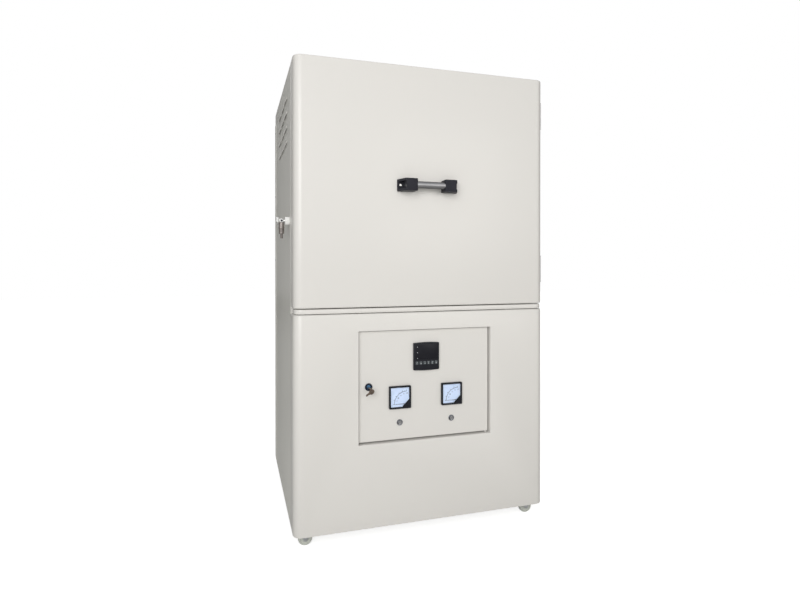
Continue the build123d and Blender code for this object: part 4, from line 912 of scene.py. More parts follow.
def makeSidePanel(side):
    # flat sheet with a slot behind each louvre, and a flange at the front, rear and top
    label = sideName(side)
    node = "side_panel_" + label.lower()
    low, high = nodeBox(node)
    outer, sheet = side * cabinet["halfWidth"], cabinet["sheet"]
    firstY = nodeBox("door_skin")[0].y + louvre["setback"] + louvre["length"] / 2
    firstZ = nodeBox("top_panel")[1].z - louvre["topDrop"]
    halfLong, halfHigh = louvre["slotLength"] / 2, louvre["slotHeight"] / 2
    slots = [
        (firstY + column * louvre["columnPitch"],
         firstZ - row * louvre["rowPitch"] + louvre["height"] * louvre["slotShare"])
        for row in range(louvre["rows"]) for column in range(louvre["columns"])
    ]
    ys, zs = {low.y, high.y}, {low.z, high.z}
    for middle, level in slots:
        ys |= {middle - halfLong, middle + halfLong}
        zs |= {level - halfHigh, level + halfHigh}
    ys, zs = sorted(ys), sorted(zs)
    bm = bmesh.new()
    verts = {(y, z): bm.verts.new((outer, y, z)) for y in ys for z in zs}
    for y0, y1 in zip(ys, ys[1:]):
        for z0, z1 in zip(zs, zs[1:]):
            midY, midZ = (y0 + y1) / 2, (z0 + z1) / 2
            if not any(abs(midY - y) < halfLong and abs(midZ - z) < halfHigh for y, z in slots):
                corners = [verts[y0, z0], verts[y1, z0], verts[y1, z1], verts[y0, z1]]
                bm.faces.new(corners if side > 0 else corners[::-1])
    bmesh.ops.delete(bm, geom=[vert for vert in bm.verts if not vert.link_faces], context="VERTS")
    bmesh.ops.solidify(bm, geom=bm.faces[:], thickness=sheet)
    inner = outer - side * sheet
    x0, x1 = sorted((inner, inner - side * cabinet["flange"]))
    frontY = low.y + cabinet["flangeSetback"]
    for y0, y1, z0 in (
        (frontY, frontY + sheet, cabinet["flangeFoot"]), (high.y - sheet, high.y, cabinet["flangeFoot"]),
        (frontY, high.y, high.z - sheet),
    ):
        addBlock(bm, (x0, y0, z0), (x1, y1, high.z))
    # the side sheet takes the darker enamel copy, which is painted shade
    fitPiece("sidePanel" + label, bm, "sideEnamel", "cabinet", "enamel", node)
    # the louvre hoods take the plain, lighter enamel, painted light for the hoods catching light from above
    hoods = gridPiece(
        "louvreHoods" + label, hoodUnit(side), "enamel", (louvre["rows"], louvre["columns"]),
        (louvre["rowPitch"], louvre["columnPitch"]),
        (outer, firstY + (louvre["columns"] - 1) * louvre["columnPitch"] / 2,
         firstZ - (louvre["rows"] - 1) * louvre["rowPitch"] / 2 - louvre["height"] / 2),
        (0, math.radians(90), 0), 50,
    )
    settle(hoods, "cabinet", "enamel")


makeDoorShell()
makeLowerFront()
makeNosing()
makeSidePanel(-1)
makeSidePanel(1)
print("stage: shells and louvres made")

# screws of the sheet metal; a head is its radius and height
panelScrews = dict(
    head=(4.2, 2.0), across=440, rearMargin=25, rearRows=9, rearColumns=6, wrapMargin=40, wrapRows=6, wrapSetback=32,
    wrapOut=471.5, fanHead=(3.6, 2.2), fanReach=52.5, fanSink=2.4, hingeHead=(4.6, 2.6), hingeOut=474.0,
    hingeMargin=14, hingeInsets=(12, 38),
)


def sheetScrews(name, spots, facing, head, finishName="hingeSteel", body="cabinet"):
    screwPiece(name, spots, facing, head, finishName, body, "hinge_steel")


def makePanelScrews():
    low, high = nodeBox("rear_panel")
    across, margin = panelScrews["across"], panelScrews["rearMargin"]
    rows, columns, tall = panelScrews["rearRows"], panelScrews["rearColumns"], high.z - low.z
    spots = []
    for index in range(rows):
        level = low.z + margin + index * (tall - 2 * margin) / (rows - 1)
        spots += [(-across, high.y, level), (across, high.y, level)]
    for index in range(1, columns):
        place = -across + index * 2 * across / columns
        spots += [(place, high.y, low.z + margin), (place, high.y, high.z - margin)]
    sheetScrews("rearScrews", spots, (0, 1, 0), panelScrews["head"])
    margin, rows = panelScrews["wrapMargin"], panelScrews["wrapRows"]
    for side in (-1, 1):
        spots = [
            (side * panelScrews["wrapOut"], high.y - panelScrews["wrapSetback"],
             low.z + margin + index * (tall - 2 * margin) / (rows - 1)) for index in range(rows)
        ]
        sheetScrews("wrapScrews" + sideName(side), spots, (side, 0, 0), panelScrews["head"])
    low, high = nodeBox("fan_housing")
    middle, reach = (low + high) / 2, panelScrews["fanReach"]
    spots = [(middle.x + a * reach, high.y - panelScrews["fanSink"], middle.z + b * reach)
             for a in (-1, 1) for b in (-1, 1)]
    sheetScrews("fanScrews", spots, (0, 1, 0), panelScrews["fanHead"])
    out, margin, insets = panelScrews["hingeOut"], panelScrews["hingeMargin"], panelScrews["hingeInsets"]
    for level in ("lower", "upper"):
        low, high = nodeBox("door_hinge_" + level)
        armLow = nodeBox("door_hinge_arm_" + level)[0]
        heights = [low.z + margin, (low.z + high.z) / 2, high.z - margin]
        for name, places, body in (
            ("hingeScrewsFixed", [high.y - inset for inset in insets], "cabinet"),
            ("hingeScrewsDoor", [armLow.y + inset for inset in insets], "furnace_door"),
        ):
            spots = [(out, y, z) for z in heights for y in places]
            sheetScrews(name + level.title(), spots, (1, 0, 0), panelScrews["hingeHead"], "nickel", body)


makePanelScrews()
print("stage: screws placed")

# door handle
handle = dict(
    frontRound=6.0, edge=1.4, pocketRound=2.5, floor=8.0, tubeRadius=12.5, tubeWall=2.0, tubeChamfer=0.5,
    socketDepth=18.0, tubeStandoff=35.5, standoff=50.0, frontLength=45.0, footLength=60.0, noseDepth=40.0, web=23.0,
    pocketHeight=24.0, screw=(4.8, 4.0), screwInset=11,
)


def makeBracket(side):
    label = sideName(side)
    node = "handle_bracket_" + label.lower()
    low, high = nodeBox(node)
    face, middle = high.y, (low.z + high.z) / 2
    inner, outer = (low.x, high.x) if side > 0 else (high.x, low.x)
    front, floor = face - handle["standoff"], face - handle["floor"]
    points = [(outer - side * handle["footLength"], face), (outer, face),
              (inner + side * handle["frontLength"], front), (inner, front), (inner, front + handle["noseDepth"])]
    bm = raiseFace([(x, y, low.z) for x, y in points[::side]], (0, 0, high.z - low.z))
    frontal = [
        edge for edge in bm.edges
        if abs(edge.verts[0].co.z - edge.verts[1].co.z) > 1 and max(vert.co.y for vert in edge.verts) < front + 1
    ]
    roundEdges(bm, frontal, handle["frontRound"], 6)
    crisp = [edge for edge in bm.edges if edge.is_manifold and edge.calc_face_angle(0) > math.radians(30)]
    roundEdges(bm, crisp, handle["edge"], 3)
    piece = newPiece("handleBracket" + label, bm, "bracketBlack")
    x0, x1 = sorted((inner + side * (handle["socketDepth"] + handle["web"]), outer + side * 2))
    half = handle["pocketHeight"] / 2
    pocket = bmesh.new()
    addBlock(pocket, (x0, front - 4, middle - half), (x1, floor, middle + half), handle["pocketRound"], 3)
    carve(piece, pocket)
    radius, reach = handle["tubeRadius"], handle["socketDepth"] + 2
    hole = bmesh.new()
    addLathe(hole, [(0, 0), (radius, 0), (radius, reach), (0, reach)],
             (inner - side * 2, face - handle["tubeStandoff"], middle), (side, 0, 0), 40)
    carve(piece, hole)
    settle(piece, "furnace_door", "bracket_black", node)
    screwPiece("handleScrew" + label, [(outer - side * handle["screwInset"], floor, middle)], (0, -1, 0),
               handle["screw"], "nickel", "furnace_door", "bracket_black", 0.52)


def makeTube():
    low, high = nodeBox("handle_tube")
    radius, chamfer, length = handle["tubeRadius"], handle["tubeChamfer"], high.x - low.x
    bore = radius - handle["tubeWall"]
    profile = [
        (bore, chamfer), (bore + chamfer, 0), (radius - chamfer, 0), (radius, chamfer), (radius, length - chamfer),
        (radius - chamfer, length), (bore + chamfer, length), (bore, length - chamfer), (bore, chamfer),
    ]
    bm = bmesh.new()
    addLathe(bm, profile, (low.x, (low.y + high.y) / 2, (low.z + high.z) / 2), (1, 0, 0), 56)
    fitPiece("handleTube", bm, "tubeAlloy", "furnace_door", "tube_alloy", "handle_tube")


makeBracket(-1)
makeBracket(1)
makeTube()
print("stage: handle made")

# temperature controller
controller = dict(
    size=96.0, bezel=9.0, bulge=2.0, bulgeSteps=12, edge=1.6, case=90.0, caseDepth=75.0, caseRound=1.2, keys=6,
    window=(86.0, 55.0, 16.5), windowRound=3.0, windowDepth=3.0, lensInset=0.35, lensGap=0.5, dotRadius=1.25,
    dots=((-34.5, 34.0), (-34.5, 14.5), (-34.5, -6.0)), keyGap=0.4, keyDepth=3.2, keyRound=1.8, keyEdge=0.54,
    strokeWidth=2.6, strokeHeight=0.9, markThick=0.2,
)


def bulgedOutline(size, bulge, steps):
    half = size / 2
    top = [(half - size * k / steps, half + bulge * (1 - (2 * k / steps - 1) ** 2)) for k in range(steps + 1)]
    return top + [(-x, -y) for x, y in top]


def makeController():
    low, high = nodeBox("controller")
    centreX, centreZ = (low.x + high.x) / 2, (low.z + high.z) / 2
    front, face = low.y, low.y + controller["bezel"]
    outline = bulgedOutline(controller["size"], controller["bulge"], controller["bulgeSteps"])
    bm = raiseFace([(centreX + x, front, centreZ + z) for x, z in outline], (0, controller["bezel"], 0))
    crisp = [
        edge for edge in bm.edges
        if edge.calc_face_angle(0) > math.radians(30) and min(vert.co.y for vert in edge.verts) < face - 0.5
    ]
    roundEdges(bm, crisp, controller["edge"], 3)
    half = controller["case"] / 2
    addBlock(bm, (centreX - half, face + 0.001, centreZ - half),
             (centreX + half, face + controller["caseDepth"], centreZ + half), controller["caseRound"])
    piece = newPiece("controllerBody", bm, "instrumentBlack")
    width, height, rise = controller["window"]
    inset, gap, bend = controller["lensInset"], controller["lensGap"], controller["windowRound"]
    cutter = bmesh.new()
    addPrism(cutter, roundedOutline(width, height, bend), (centreX, front - 2, centreZ + rise), towardBack,
             controller["windowDepth"] + 2)
    room = controller["keyGap"]
    for index in range(1, controller["keys"] + 1):
        keyLow, keyHigh = nodeBox("controller_key_" + str(index))
        addBlock(cutter, (keyLow.x - room, front - 2, keyLow.z - room),
                 (keyHigh.x + room, front + controller["keyDepth"], keyHigh.z + room))
    carve(piece, cutter)
    settle(piece, "control_door", "instrument_black", "controller")
    lens = bmesh.new()
    addPrism(lens, roundedOutline(width - gap, height - gap, bend - 0.2), (centreX, front + inset, centreZ + rise),
             towardBack, controller["windowDepth"] - 0.4, 0.35)
    fitPiece("controllerLens", lens, "smokedLens", "control_door", "instrument_black")
    dots = bmesh.new()
    radius = controller["dotRadius"]
    for x, z in controller["dots"]:
        addLathe(dots, [(0, 0.4), (radius * 0.6, 0.34), (radius, 0.1), (radius, -0.2), (0, -0.2)],
                 (centreX + x, front + inset, centreZ + z), (0, -1, 0), 16)
    fitPiece("controllerLamps", dots, "printPale", "control_door", "instrument_black")
    for index in range(controller["keys"]):
        makeKey(index)


keySigns = (
    [(-1.6, -1.2), (1.6, 0.0), (-1.6, 1.2)], [(-1.4, -1.4), (1.4, -1.4), (1.4, 1.4), (-1.4, 1.4)],
    [(1.6, -1.4), (1.6, 1.4), (-1.4, 0)], [(-1.6, 1.2), (0, -1.6), (1.6, 1.2)],
    [(-1.6, -1.2), (0, 1.6), (1.6, -1.2)], ringOutline(1.6, 14),
)


def makeKey(index):
    # a rubber key with a short stroke and a small sign on its face
    label = str(index + 1)
    node = "controller_key_" + label
    low, high = nodeBox(node)
    middle, size = (low + high) / 2, high - low
    bm = bmesh.new()
    addPrism(bm, roundedOutline(size.x, size.z, controller["keyRound"]), (middle.x, low.y, middle.z), towardBack,
             size.y, controller["keyEdge"])
    fitPiece("controllerKey" + label, bm, "keyRubber", node, "key_grey", node)
    marks = bmesh.new()
    wide, tall, thick = controller["strokeWidth"] / 2, controller["strokeHeight"] / 2, controller["markThick"]
    strokeZ, signZ = middle.z + size.z * 0.22, middle.z - size.z * 0.2
    addBlock(marks, (middle.x - wide, low.y - 0.001, strokeZ - tall), (middle.x + wide, low.y + thick, strokeZ + tall))
    addPrism(marks, mirrored(keySigns[index]), (middle.x, low.y - 0.001, signZ), towardBack, thick)
    fitPiece("controllerKeyMark" + label, marks, "printPale", node, "key_grey")


makeController()
print("stage: controller made")

# panel meters
meterLook = dict(
    size=80.0, frame=5.6, bezel=9.0, well=6.0, case=74.0, caseDepth=48.0, caseRound=1.2, corner=25.0, pivot=24.0,
    arc=(43.2, 44.6), arcSteps=40, marks=20, major=(44.4, 49.4, 1.8), minor=(44.4, 47.2, 0.9), majorEvery=4,
    numbers=37.4, figures=("0", "20", "40", "60", "80", "100"), figureHeight=5.2, unitHeight=9.0, unitDrop=(6.0, 4.0),
    paper=0.25, ink=0.05, glassDepth=2.2, glassThick=0.8,
)


def addFigure(bm, text, height, centre):
    # a small figure lying on the dial
    curve = bpy.data.curves.new("figure", "FONT")
    curve.body = text
    curve.size = height * millimetre
    curve.align_x = curve.align_y = "CENTER"
    curve.extrude = 0.06 * millimetre
    curve.resolution_u = 3
    carrier = addObject("figure", curve)
    mesh = bpy.data.meshes.new_from_object(carrier.evaluated_get(bpy.context.evaluated_depsgraph_get()))
    bpy.data.objects.remove(carrier)
    mesh.transform(Matrix.Translation(Vector(centre) * millimetre) @ Matrix.Rotation(math.radians(90), 4, "X"))
    bm.from_mesh(mesh)
    bpy.data.meshes.remove(mesh)


def addStrip(bm, pivot, inside, outside, start, sweep, steps):
    # flat band of print between two radii
    lines = []
    for k in range(steps + 1):
        turn = start + sweep * k / steps
        lines.append([bm.verts.new((pivot.x + u, pivot.y, pivot.z + v)) for u, v in
                      (polar(inside, turn), polar(outside, turn))])
    for first, second in zip(lines, lines[1:]):
        bm.faces.new((first[0], first[1], second[1], second[0]))


def makeScale(pivot, label, unit, unitPlace):
    bm = bmesh.new()
    addStrip(bm, pivot, *meterLook["arc"], 90, 90, meterLook["arcSteps"])
    marks = meterLook["marks"]
    for k in range(marks + 1):
        inside, outside, width = meterLook["minor" if k % meterLook["majorEvery"] else "major"]
        addStrip(bm, pivot, inside, outside, 180 - 90 * k / marks - width / 2, width, 1)
    piece = newPiece("meterScale" + label, bm, "printBlue")
    bm = bmesh.new()
    bm.from_mesh(piece.data)
    bmesh.ops.reverse_faces(bm, faces=[face for face in bm.faces if face.normal.y > 0])
    steps = len(meterLook["figures"]) - 1
    for k, figure in enumerate(meterLook["figures"]):
        u, v = polar(meterLook["numbers"], 180 - 90 * k / steps)
        u += 1.6 * math.cos(math.radians(90 * (1 - k / steps)))
        addFigure(bm, figure, meterLook["figureHeight"], (pivot.x + u, pivot.y, pivot.z + v - 0.8))
    addFigure(bm, unit, meterLook["unitHeight"], unitPlace)
    bm.to_mesh(piece.data)
    bm.free()
    settle(piece, "control_door", "meter_case")


def makeMeter(node, unit):
    low, high = nodeBox(node)
    front, label = low.y, node.title()
    centre = Vector(((low.x + high.x) / 2, front, (low.z + high.z) / 2))
    half = meterLook["size"] / 2
    inner = half - meterLook["frame"]
    depth, well = meterLook["bezel"], meterLook["well"]
    bm = bmesh.new()
    rings = []
    for reach, radius, back in (
        (half, 3.2, depth), (half, 3.2, 0.9), (half - 0.9, 2.6, 0.0), (inner + 1.0, 1.8, 0.0), (inner, 1.4, 0.8),
        (inner, 1.4, well),
    ):
        outline = roundedOutline(2 * reach, 2 * reach, radius)
        rings.append([bm.verts.new((centre.x + x, front + back, centre.z + z)) for x, z in outline])
    skinRings(bm, rings)
    bm.faces.new(rings[-1])
    bm.faces.new(rings[0])
    case = meterLook["case"] / 2
    addBlock(bm, (centre.x - case, front + depth + 0.001, centre.z - case),
             (centre.x + case, front + depth + meterLook["caseDepth"], centre.z + case), meterLook["caseRound"])
    fitPiece("meterCase" + label, bm, "instrumentBlack", "control_door", "meter_case", node)
    dial = front + well
    paper, level = inner - 0.3, dial - meterLook["paper"]
    bm = bmesh.new()
    addBlock(bm, (centre.x - paper, level, centre.z - paper), (centre.x + paper, dial - 0.01, centre.z + paper))
    fitPiece("meterDial" + label, bm, "dialPaper", "control_door", "meter_case")
    inkY = level - meterLook["ink"]
    pivot = Vector((centre.x + meterLook["pivot"], inkY, centre.z - meterLook["pivot"]))
    dropX, dropZ = meterLook["unitDrop"]
    makeScale(pivot, label, unit, (centre.x - dropX, inkY, centre.z - dropZ))
    bm = bmesh.new()
    reach = meterLook["corner"]
    points = [(0, 0), (0, reach), (-2, reach + 1.2), (-reach - 1.2, 2), (-reach, 0)]
    addPrism(bm, mirrored(points), (centre.x + inner - 0.2, front + 0.5, centre.z - inner + 0.2), towardBack, 1.5, 0.25)
    fitPiece("meterCover" + label, bm, "instrumentBlack", "control_door", "meter_case")
    bm = bmesh.new()
    addPrism(bm, roundedOutline(2 * inner - 0.3, 2 * inner - 0.3, 1.2),
             (centre.x, front + meterLook["glassDepth"], centre.z), towardBack, meterLook["glassThick"])
    fitPiece("meterGlass" + label, bm, "meterWindow", "control_door", "meter_case")
    makeNeedle(node + "_needle", pivot, label)


def makeNeedle(node, pivot, label):
    low = nodeBox(node)[0]
    tip, front = pivot.x - low.x, low.y
    bm = bmesh.new()
    addLathe(bm, [(0, 2.4), (2.2, 2.4), (3.0, 1.9), (3.3, 0.6), (3.3, 0.0), (0, 0.0)],
             (pivot.x, front + 2.4, pivot.z), (0, -1, 0), 24)
    outline = [(-3.0, 0.9), (-3.0, -0.9), (tip * 0.55, -0.62), (tip, -0.25), (tip, 0.25), (tip * 0.55, 0.62)]
    addPrism(bm, outline, (pivot.x, front + 1.0, pivot.z), towardBack, 0.6)
    fitPiece("needle" + label, bm, "printBlack", node, "needle_black", node)


makeMeter("ammeter", "A")
makeMeter("voltmeter", "V")
print("stage: meters made")

# push buttons
button = dict(lip=11.0, inner=6.75, bezel=3.0, barrel=8.0, barrelLength=26.0, capRadius=6.45, capSeat=9.0)


def makeButton(side):
    node = "button_bezel_" + side
    low, high = nodeBox(node)
    centreX, centreZ = (low.x + high.x) / 2, (low.z + high.z) / 2
    lip, inner, barrel = button["lip"], button["inner"], button["barrel"]
    bezel, seat, length = button["bezel"], button["capSeat"], button["barrelLength"]
    bm = bmesh.new()
    addLathe(bm, [
        (inner, seat), (inner, 1.4), (inner + 0.5, 0.6), (inner + 1.2, 0.35), (lip - 1.6, 0.0), (lip - 0.7, 0.25),
        (lip - 0.15, 0.9), (lip, 1.7), (lip, bezel), (barrel, bezel), (barrel, length), (barrel - 0.5, length + 0.5),
        (0, length + 0.5), (0, seat), (inner, seat),
    ], (centreX, low.y, centreZ), (0, 1, 0), 48)
    fitPiece("buttonRing" + side.title(), bm, "darkChrome", "control_door", "button_metal", node)
    node = "push_button_" + side
    low, high = nodeBox(node)
    cap, thick = button["capRadius"], high.y - low.y
    bm = bmesh.new()
    addLathe(bm, [
        (0, 0.45), (cap * 0.45, 0.32), (cap * 0.72, 0.12), (cap - 0.8, 0.0), (cap - 0.25, 0.25), (cap, 0.9),
        (cap, thick), (0, thick),
    ], (centreX, low.y, centreZ), (0, 1, 0), 48)
    fitPiece("buttonCap" + side.title(), bm, "polished", node, "button_metal", node)


makeButton("left")
makeButton("right")
print("stage: buttons made")

# cam lock and its keys
lock = dict(
    flange=13.5, bore=6.6, barrel=9.5, plug=6.4, camWide=7.0, camTip=5.0, camThick=2.45, nut=3.9,
    bow=(10.5, 8.6), bowThick=2.2, keyTilt=-24, keyReach=14, bladeLong=30.0, looseBlade=15.0, ring=7.0,
    ringWire=0.8, ringPlace=(2.0, -30.0, -2.0), ringSteps=(36, 10), looseHang=(0.84, 0.1, 0.53), looseReach=27.0,
)


def makeLock():
    low, high = nodeBox("door_lock")
    place = ((low.x + high.x) / 2, low.y, (low.z + high.z) / 2)
    length = high.y - low.y
    bore, rim, barrel = lock["bore"], lock["flange"], lock["barrel"]
    bm = bmesh.new()
    addLathe(bm, [
        (bore, length), (bore, 0.9), (bore + 0.4, 0.5), (bore + 1.9, 0.5), (bore + 2.3, 0.0), (rim - 1.9, 0.0),
        (rim - 0.8, 0.4), (rim - 0.15, 1.2), (rim, 2.2), (rim, 3.0), (barrel, 3.0), (barrel, length), (bore, length),
    ], place, (0, 1, 0), 56)
    fitPiece("lockBody", bm, "lockBlue", "control_door", "lock_chrome", "door_lock")
    plugLow, plugHigh = nodeBox("lock_plug")
    plug, wide, tip, nut = lock["plug"], lock["camWide"], lock["camTip"], lock["nut"]
    bm = bmesh.new()
    addLathe(bm, [(0, 0.5), (plug - 0.6, 0.5), (plug, 1.0), (plug, length + 0.2), (0, length + 0.2)], place,
             (0, 1, 0), 40)
    cam = [polar(wide, 180 * k / 8) for k in range(9)]
    for k in range(9):
        u, v = polar(tip, 180 + 180 * k / 8)
        cam.append((u, v + plugLow.z + tip - place[2]))
    addPrism(bm, mirrored(cam), (place[0], plugHigh.y - 2.5, place[2]), towardBack, lock["camThick"], 0.3)
    addLathe(bm, [(0, -3.4), (nut - 0.5, -3.4), (nut, -2.9), (nut, -2.3), (0, -2.3)],
             (place[0], plugHigh.y, place[2]), (0, 1, 0), 6)
    fitPiece("lockPlug", bm, "plugBlue", "lock_plug", "key_metal", "lock_plug")
    makeKeys(Vector(place))


def addKey(bm, tip, along, across, blade):
    # flat key: blade with teeth, shoulder and oval bow; along points from the tip to the bow
    along, across = Vector(along).normalized(), Vector(across).normalized()
    bowLong, bowWide = lock["bow"]
    thick = lock["bowThick"]
    teeth = [(4.5, -1.9), (6.5, -3.4), (9.0, -2.1), (11.0, -3.4), (13.5, -2.4), (15.5, -3.6)]
    outline = [(0, -1.2), (2.0, -3.4)] + [(u, v) for u, v in teeth if u < blade - 3]
    outline += [(blade - 2, -3.8), (blade, -3.8)]
    for k in range(21):
        turn = math.radians(-155 + 310 * k / 20)
        outline.append((blade + bowLong * 0.86 + bowLong * math.cos(turn), bowWide * math.sin(turn)))
    outline += [(blade, 3.8), (2.0, 3.4)]
    addPrism(bm, outline, Vector(tip) - along.cross(across) * thick / 2, (along, across), thick, 0.3)


def makeKeys(place):
    # one key in the plug, and one that hangs from it on a ring
    bm = bmesh.new()
    u, v = polar(1, lock["keyTilt"])
    addKey(bm, place + Vector((0, lock["keyReach"], 0)), (0, -1, 0), (u, 0, v), lock["bladeLong"])
    centre, ring = place + Vector(lock["ringPlace"]), lock["ring"]
    steps, tube = lock["ringSteps"]
    part = bmesh.new()
    loops = []
    for step in range(steps):
        turn = 2 * math.pi * step / steps
        radial = Vector((0.35 * math.cos(turn), 0.94 * math.cos(turn), math.sin(turn))).normalized()
        around = circlePoints(centre + radial * ring, radial, Vector((0.94, -0.35, 0)), lock["ringWire"], tube)
        loops.append([part.verts.new(point) for point in around])
    skinRings(part, loops + loops[:1])
    bmesh.ops.recalc_face_normals(part, faces=part.faces)
    pour(bm, part)
    hang = Vector(lock["looseHang"]).normalized()
    tip = centre + Vector((3.0, 0, -ring + 1.0)) - hang * lock["looseReach"]
    addKey(bm, tip, hang, hang.cross(Vector((0, 1, 0))), lock["looseBlade"])
    fitPiece("lockKeys", bm, "wornBrass", "lock_plug", "key_metal")


makeLock()
print("stage: lock made")

# side gas valve
valve = dict(
    nut=15.5, nutLength=16.0, neckLength=8.0, inset=3.3, outlet=9.5, barb=5.0, barbStart=-47.0, barbPitch=3.6,
    knob=13.0, knobThick=8.0, knobGrips=8, knobWave=1.7, stem=3.4, stemLength=10, ball=9.6,
)


def makeValve():
    low, high = nodeBox("gas_valve")
    knobLow, knobHigh = nodeBox("gas_valve_knob")
    axisY, axisZ, wall = (knobLow.y + knobHigh.y) / 2, (knobLow.z + knobHigh.z) / 2, high.x
    across = ((0, 1, 0), (0, 0, 1))
    length, ball = valve["nutLength"], valve["ball"]
    bm = bmesh.new()
    addPrism(bm, ringOutline(valve["nut"], 6), (wall - length, axisY, axisZ), across, length, 1.6)
    fitPiece("valveNut", bm, "nutNylon", "cabinet", "valve_metal")
    outlet = (wall - length - valve["neckLength"] - valve["inset"], axisY, axisZ)
    bm = bmesh.new()
    addLathe(bm, [
        (0, 15.5), (13.0, 15.5), (13.0, 16.3), (9.0, 16.6), (4.8, 17.2), (5.0, 18.4), (7.4, 23.2),
        (8.4, 24.2), (8.4, 36.4), (7.8, 37.0), (0, 37.0),
    ], (wall, axisY, axisZ), (-1, 0, 0), 40)
    addLathe(bm, [polar(ball, -90 + 15 * k) for k in range(11)], outlet, (0, -1, 0), 28)
    addLathe(bm, [(ball * 0.5, ball - 2.0), (ball * 0.62, ball - 1.4), (ball * 0.62, ball + 1.2),
                  (ball * 0.4, ball + 1.2), (ball * 0.36, ball - 1.0), (0, ball - 1.0)], outlet, (0, -1, 0), 24)
    fitPiece("valveBarrel", bm, "nickel", "cabinet", "valve_metal", "gas_valve")
    bm = bmesh.new()
    addLathe(bm, [(0, ball - 0.6), (ball * 0.37, ball - 0.6), (ball * 0.37, ball - 1.2)], outlet, (0, -1, 0), 24)
    fitPiece("valvePacking", bm, "bracketBlack", "cabinet", "valve_metal")
    radius, barb, pitch, level = valve["outlet"], valve["barb"], valve["barbPitch"], valve["barbStart"]
    end = low.z - axisZ
    profile = [(0, -5.0), (radius - 2, -5.2), (radius, -7.0), (radius, -20), (radius + 0.6, -21), (radius + 0.6, -27),
               (radius, -28), (radius, -45), (radius - 1, -46), (barb + 0.4, -46)]
    while level > end + pitch:
        profile += [(barb, level), (barb - 0.9, level - 3.2)]
        level -= pitch
    profile += [(barb - 1.0, end), (2.6, end), (2.5, end + 12), (0, end + 12)]
    bm = bmesh.new()
    addLathe(bm, profile, outlet, (0, 0, 1), 36)
    fitPiece("valveBody", bm, "agedZinc", "cabinet", "valve_metal")
    thick, grips, stem, outline = valve["knobThick"], valve["knobGrips"], valve["stem"], []
    for k in range(12 * grips):
        turn = 2 * math.pi * k / (12 * grips)
        reach = valve["knob"] - 0.1 - valve["knobWave"] * max(0.0, math.cos(grips * turn)) ** 3
        outline.append((reach * math.cos(turn), reach * math.sin(turn)))
    bm = bmesh.new()
    addPrism(bm, outline, (knobLow.x + 0.05, axisY, axisZ), across, thick - 0.1, 0.7)
    addLathe(bm, [(0, 0), (stem, 0), (stem, valve["stemLength"]), (0, valve["stemLength"])],
             (knobLow.x + thick - 1.0, axisY, axisZ), (1, 0, 0), 24)
    fitPiece("valveKnob", bm, "nickel", "gas_valve_knob", "valve_metal", "gas_valve_knob")


makeValve()
print("stage: valve made")

# caster wheels
caster = dict(radius=25.0, width=21.0, dish=3.0, hub=9.0, tyre=7.0, tyreRound=4.2, bore=4.1)


def makeWheel(spot):
    node = "caster_wheel_" + spot
    low, high = nodeBox(node)
    hub, dish, bend = caster["hub"], caster["dish"], caster["tyreRound"]
    radius, half = caster["radius"], caster["width"] / 2
    rim = radius - caster["tyre"]
    flank = [(caster["bore"], -half), (hub - 0.6, -half), (hub, -half + 0.5), (hub, -half + dish),
             (rim, -half + dish), (rim + 0.4, -half + 0.6), (rim + 1.2, -half)]
    tread = []
    for k in range(9):
        turn = math.radians(-80 + 160 * k / 8)
        tread.append((radius - bend + bend * math.cos(turn), math.sin(turn) * (half - 0.2)))
    profile = flank + tread + [(r, -along) for r, along in flank][::-1] + flank[:1]
    bm = bmesh.new()
    addLathe(bm, profile, (low + high) / 2, (0, 1, 0), 56)
    settle(newPiece("wheel" + spot.title().replace("_", ""), bm, "wheelPale", 40), node, "wheel_pale", node)


for spot in ("front_left", "front_right", "rear_left", "rear_right"):
    makeWheel(spot)
print("stage: casters made")

# heating elements
heater = dict(rows=3, rodRadius=4.5, rodSteps=14, coldRadius=9.0, coldTip=4.6, collar=17.0, collarBore=9.1,
              collarHeight=22.0, coldDrop=15.0, strapLevel=40.0, strapThick=6.0, strapWidth=22.0, bendSteps=14)


def rodUnit(chamberTop, reach, tipTop, legGap):
    # one U-shaped rod with its thick ends; the middle of the bend is at the origin in plan
    bm = bmesh.new()
    half = legGap / 2
    straight = chamberTop - heater["coldDrop"]
    bendZ = chamberTop - reach + half
    path = [Vector((0, -half, straight)), Vector((0, -half, bendZ))]
    for k in range(1, heater["bendSteps"]):
        turn = math.pi * k / heater["bendSteps"]
        path.append(Vector((0, -half * math.cos(turn), bendZ - half * math.sin(turn))))
    path += [Vector((0, half, bendZ)), Vector((0, half, straight))]
    loops = []
    for index, point in enumerate(path):
        tangent = (path[min(len(path) - 1, index + 1)] - path[max(0, index - 1)]).normalized()
        side = Vector((1, 0, 0))
        around = circlePoints(point, side, tangent.cross(side), heater["rodRadius"], heater["rodSteps"])
        loops.append([bm.verts.new(corner) for corner in around])
    skinRings(bm, loops)
    cold, tip = heater["coldRadius"], tipTop - straight
    for side in (-1, 1):
        addLathe(bm, [(0, 0), (heater["coldTip"], 0), (cold - 0.8, 4.5), (cold, 6), (cold, tip - 1), (cold - 1, tip),
                      (0, tip)], (0, side * half, straight), (0, 0, 1), 20)
    return bm


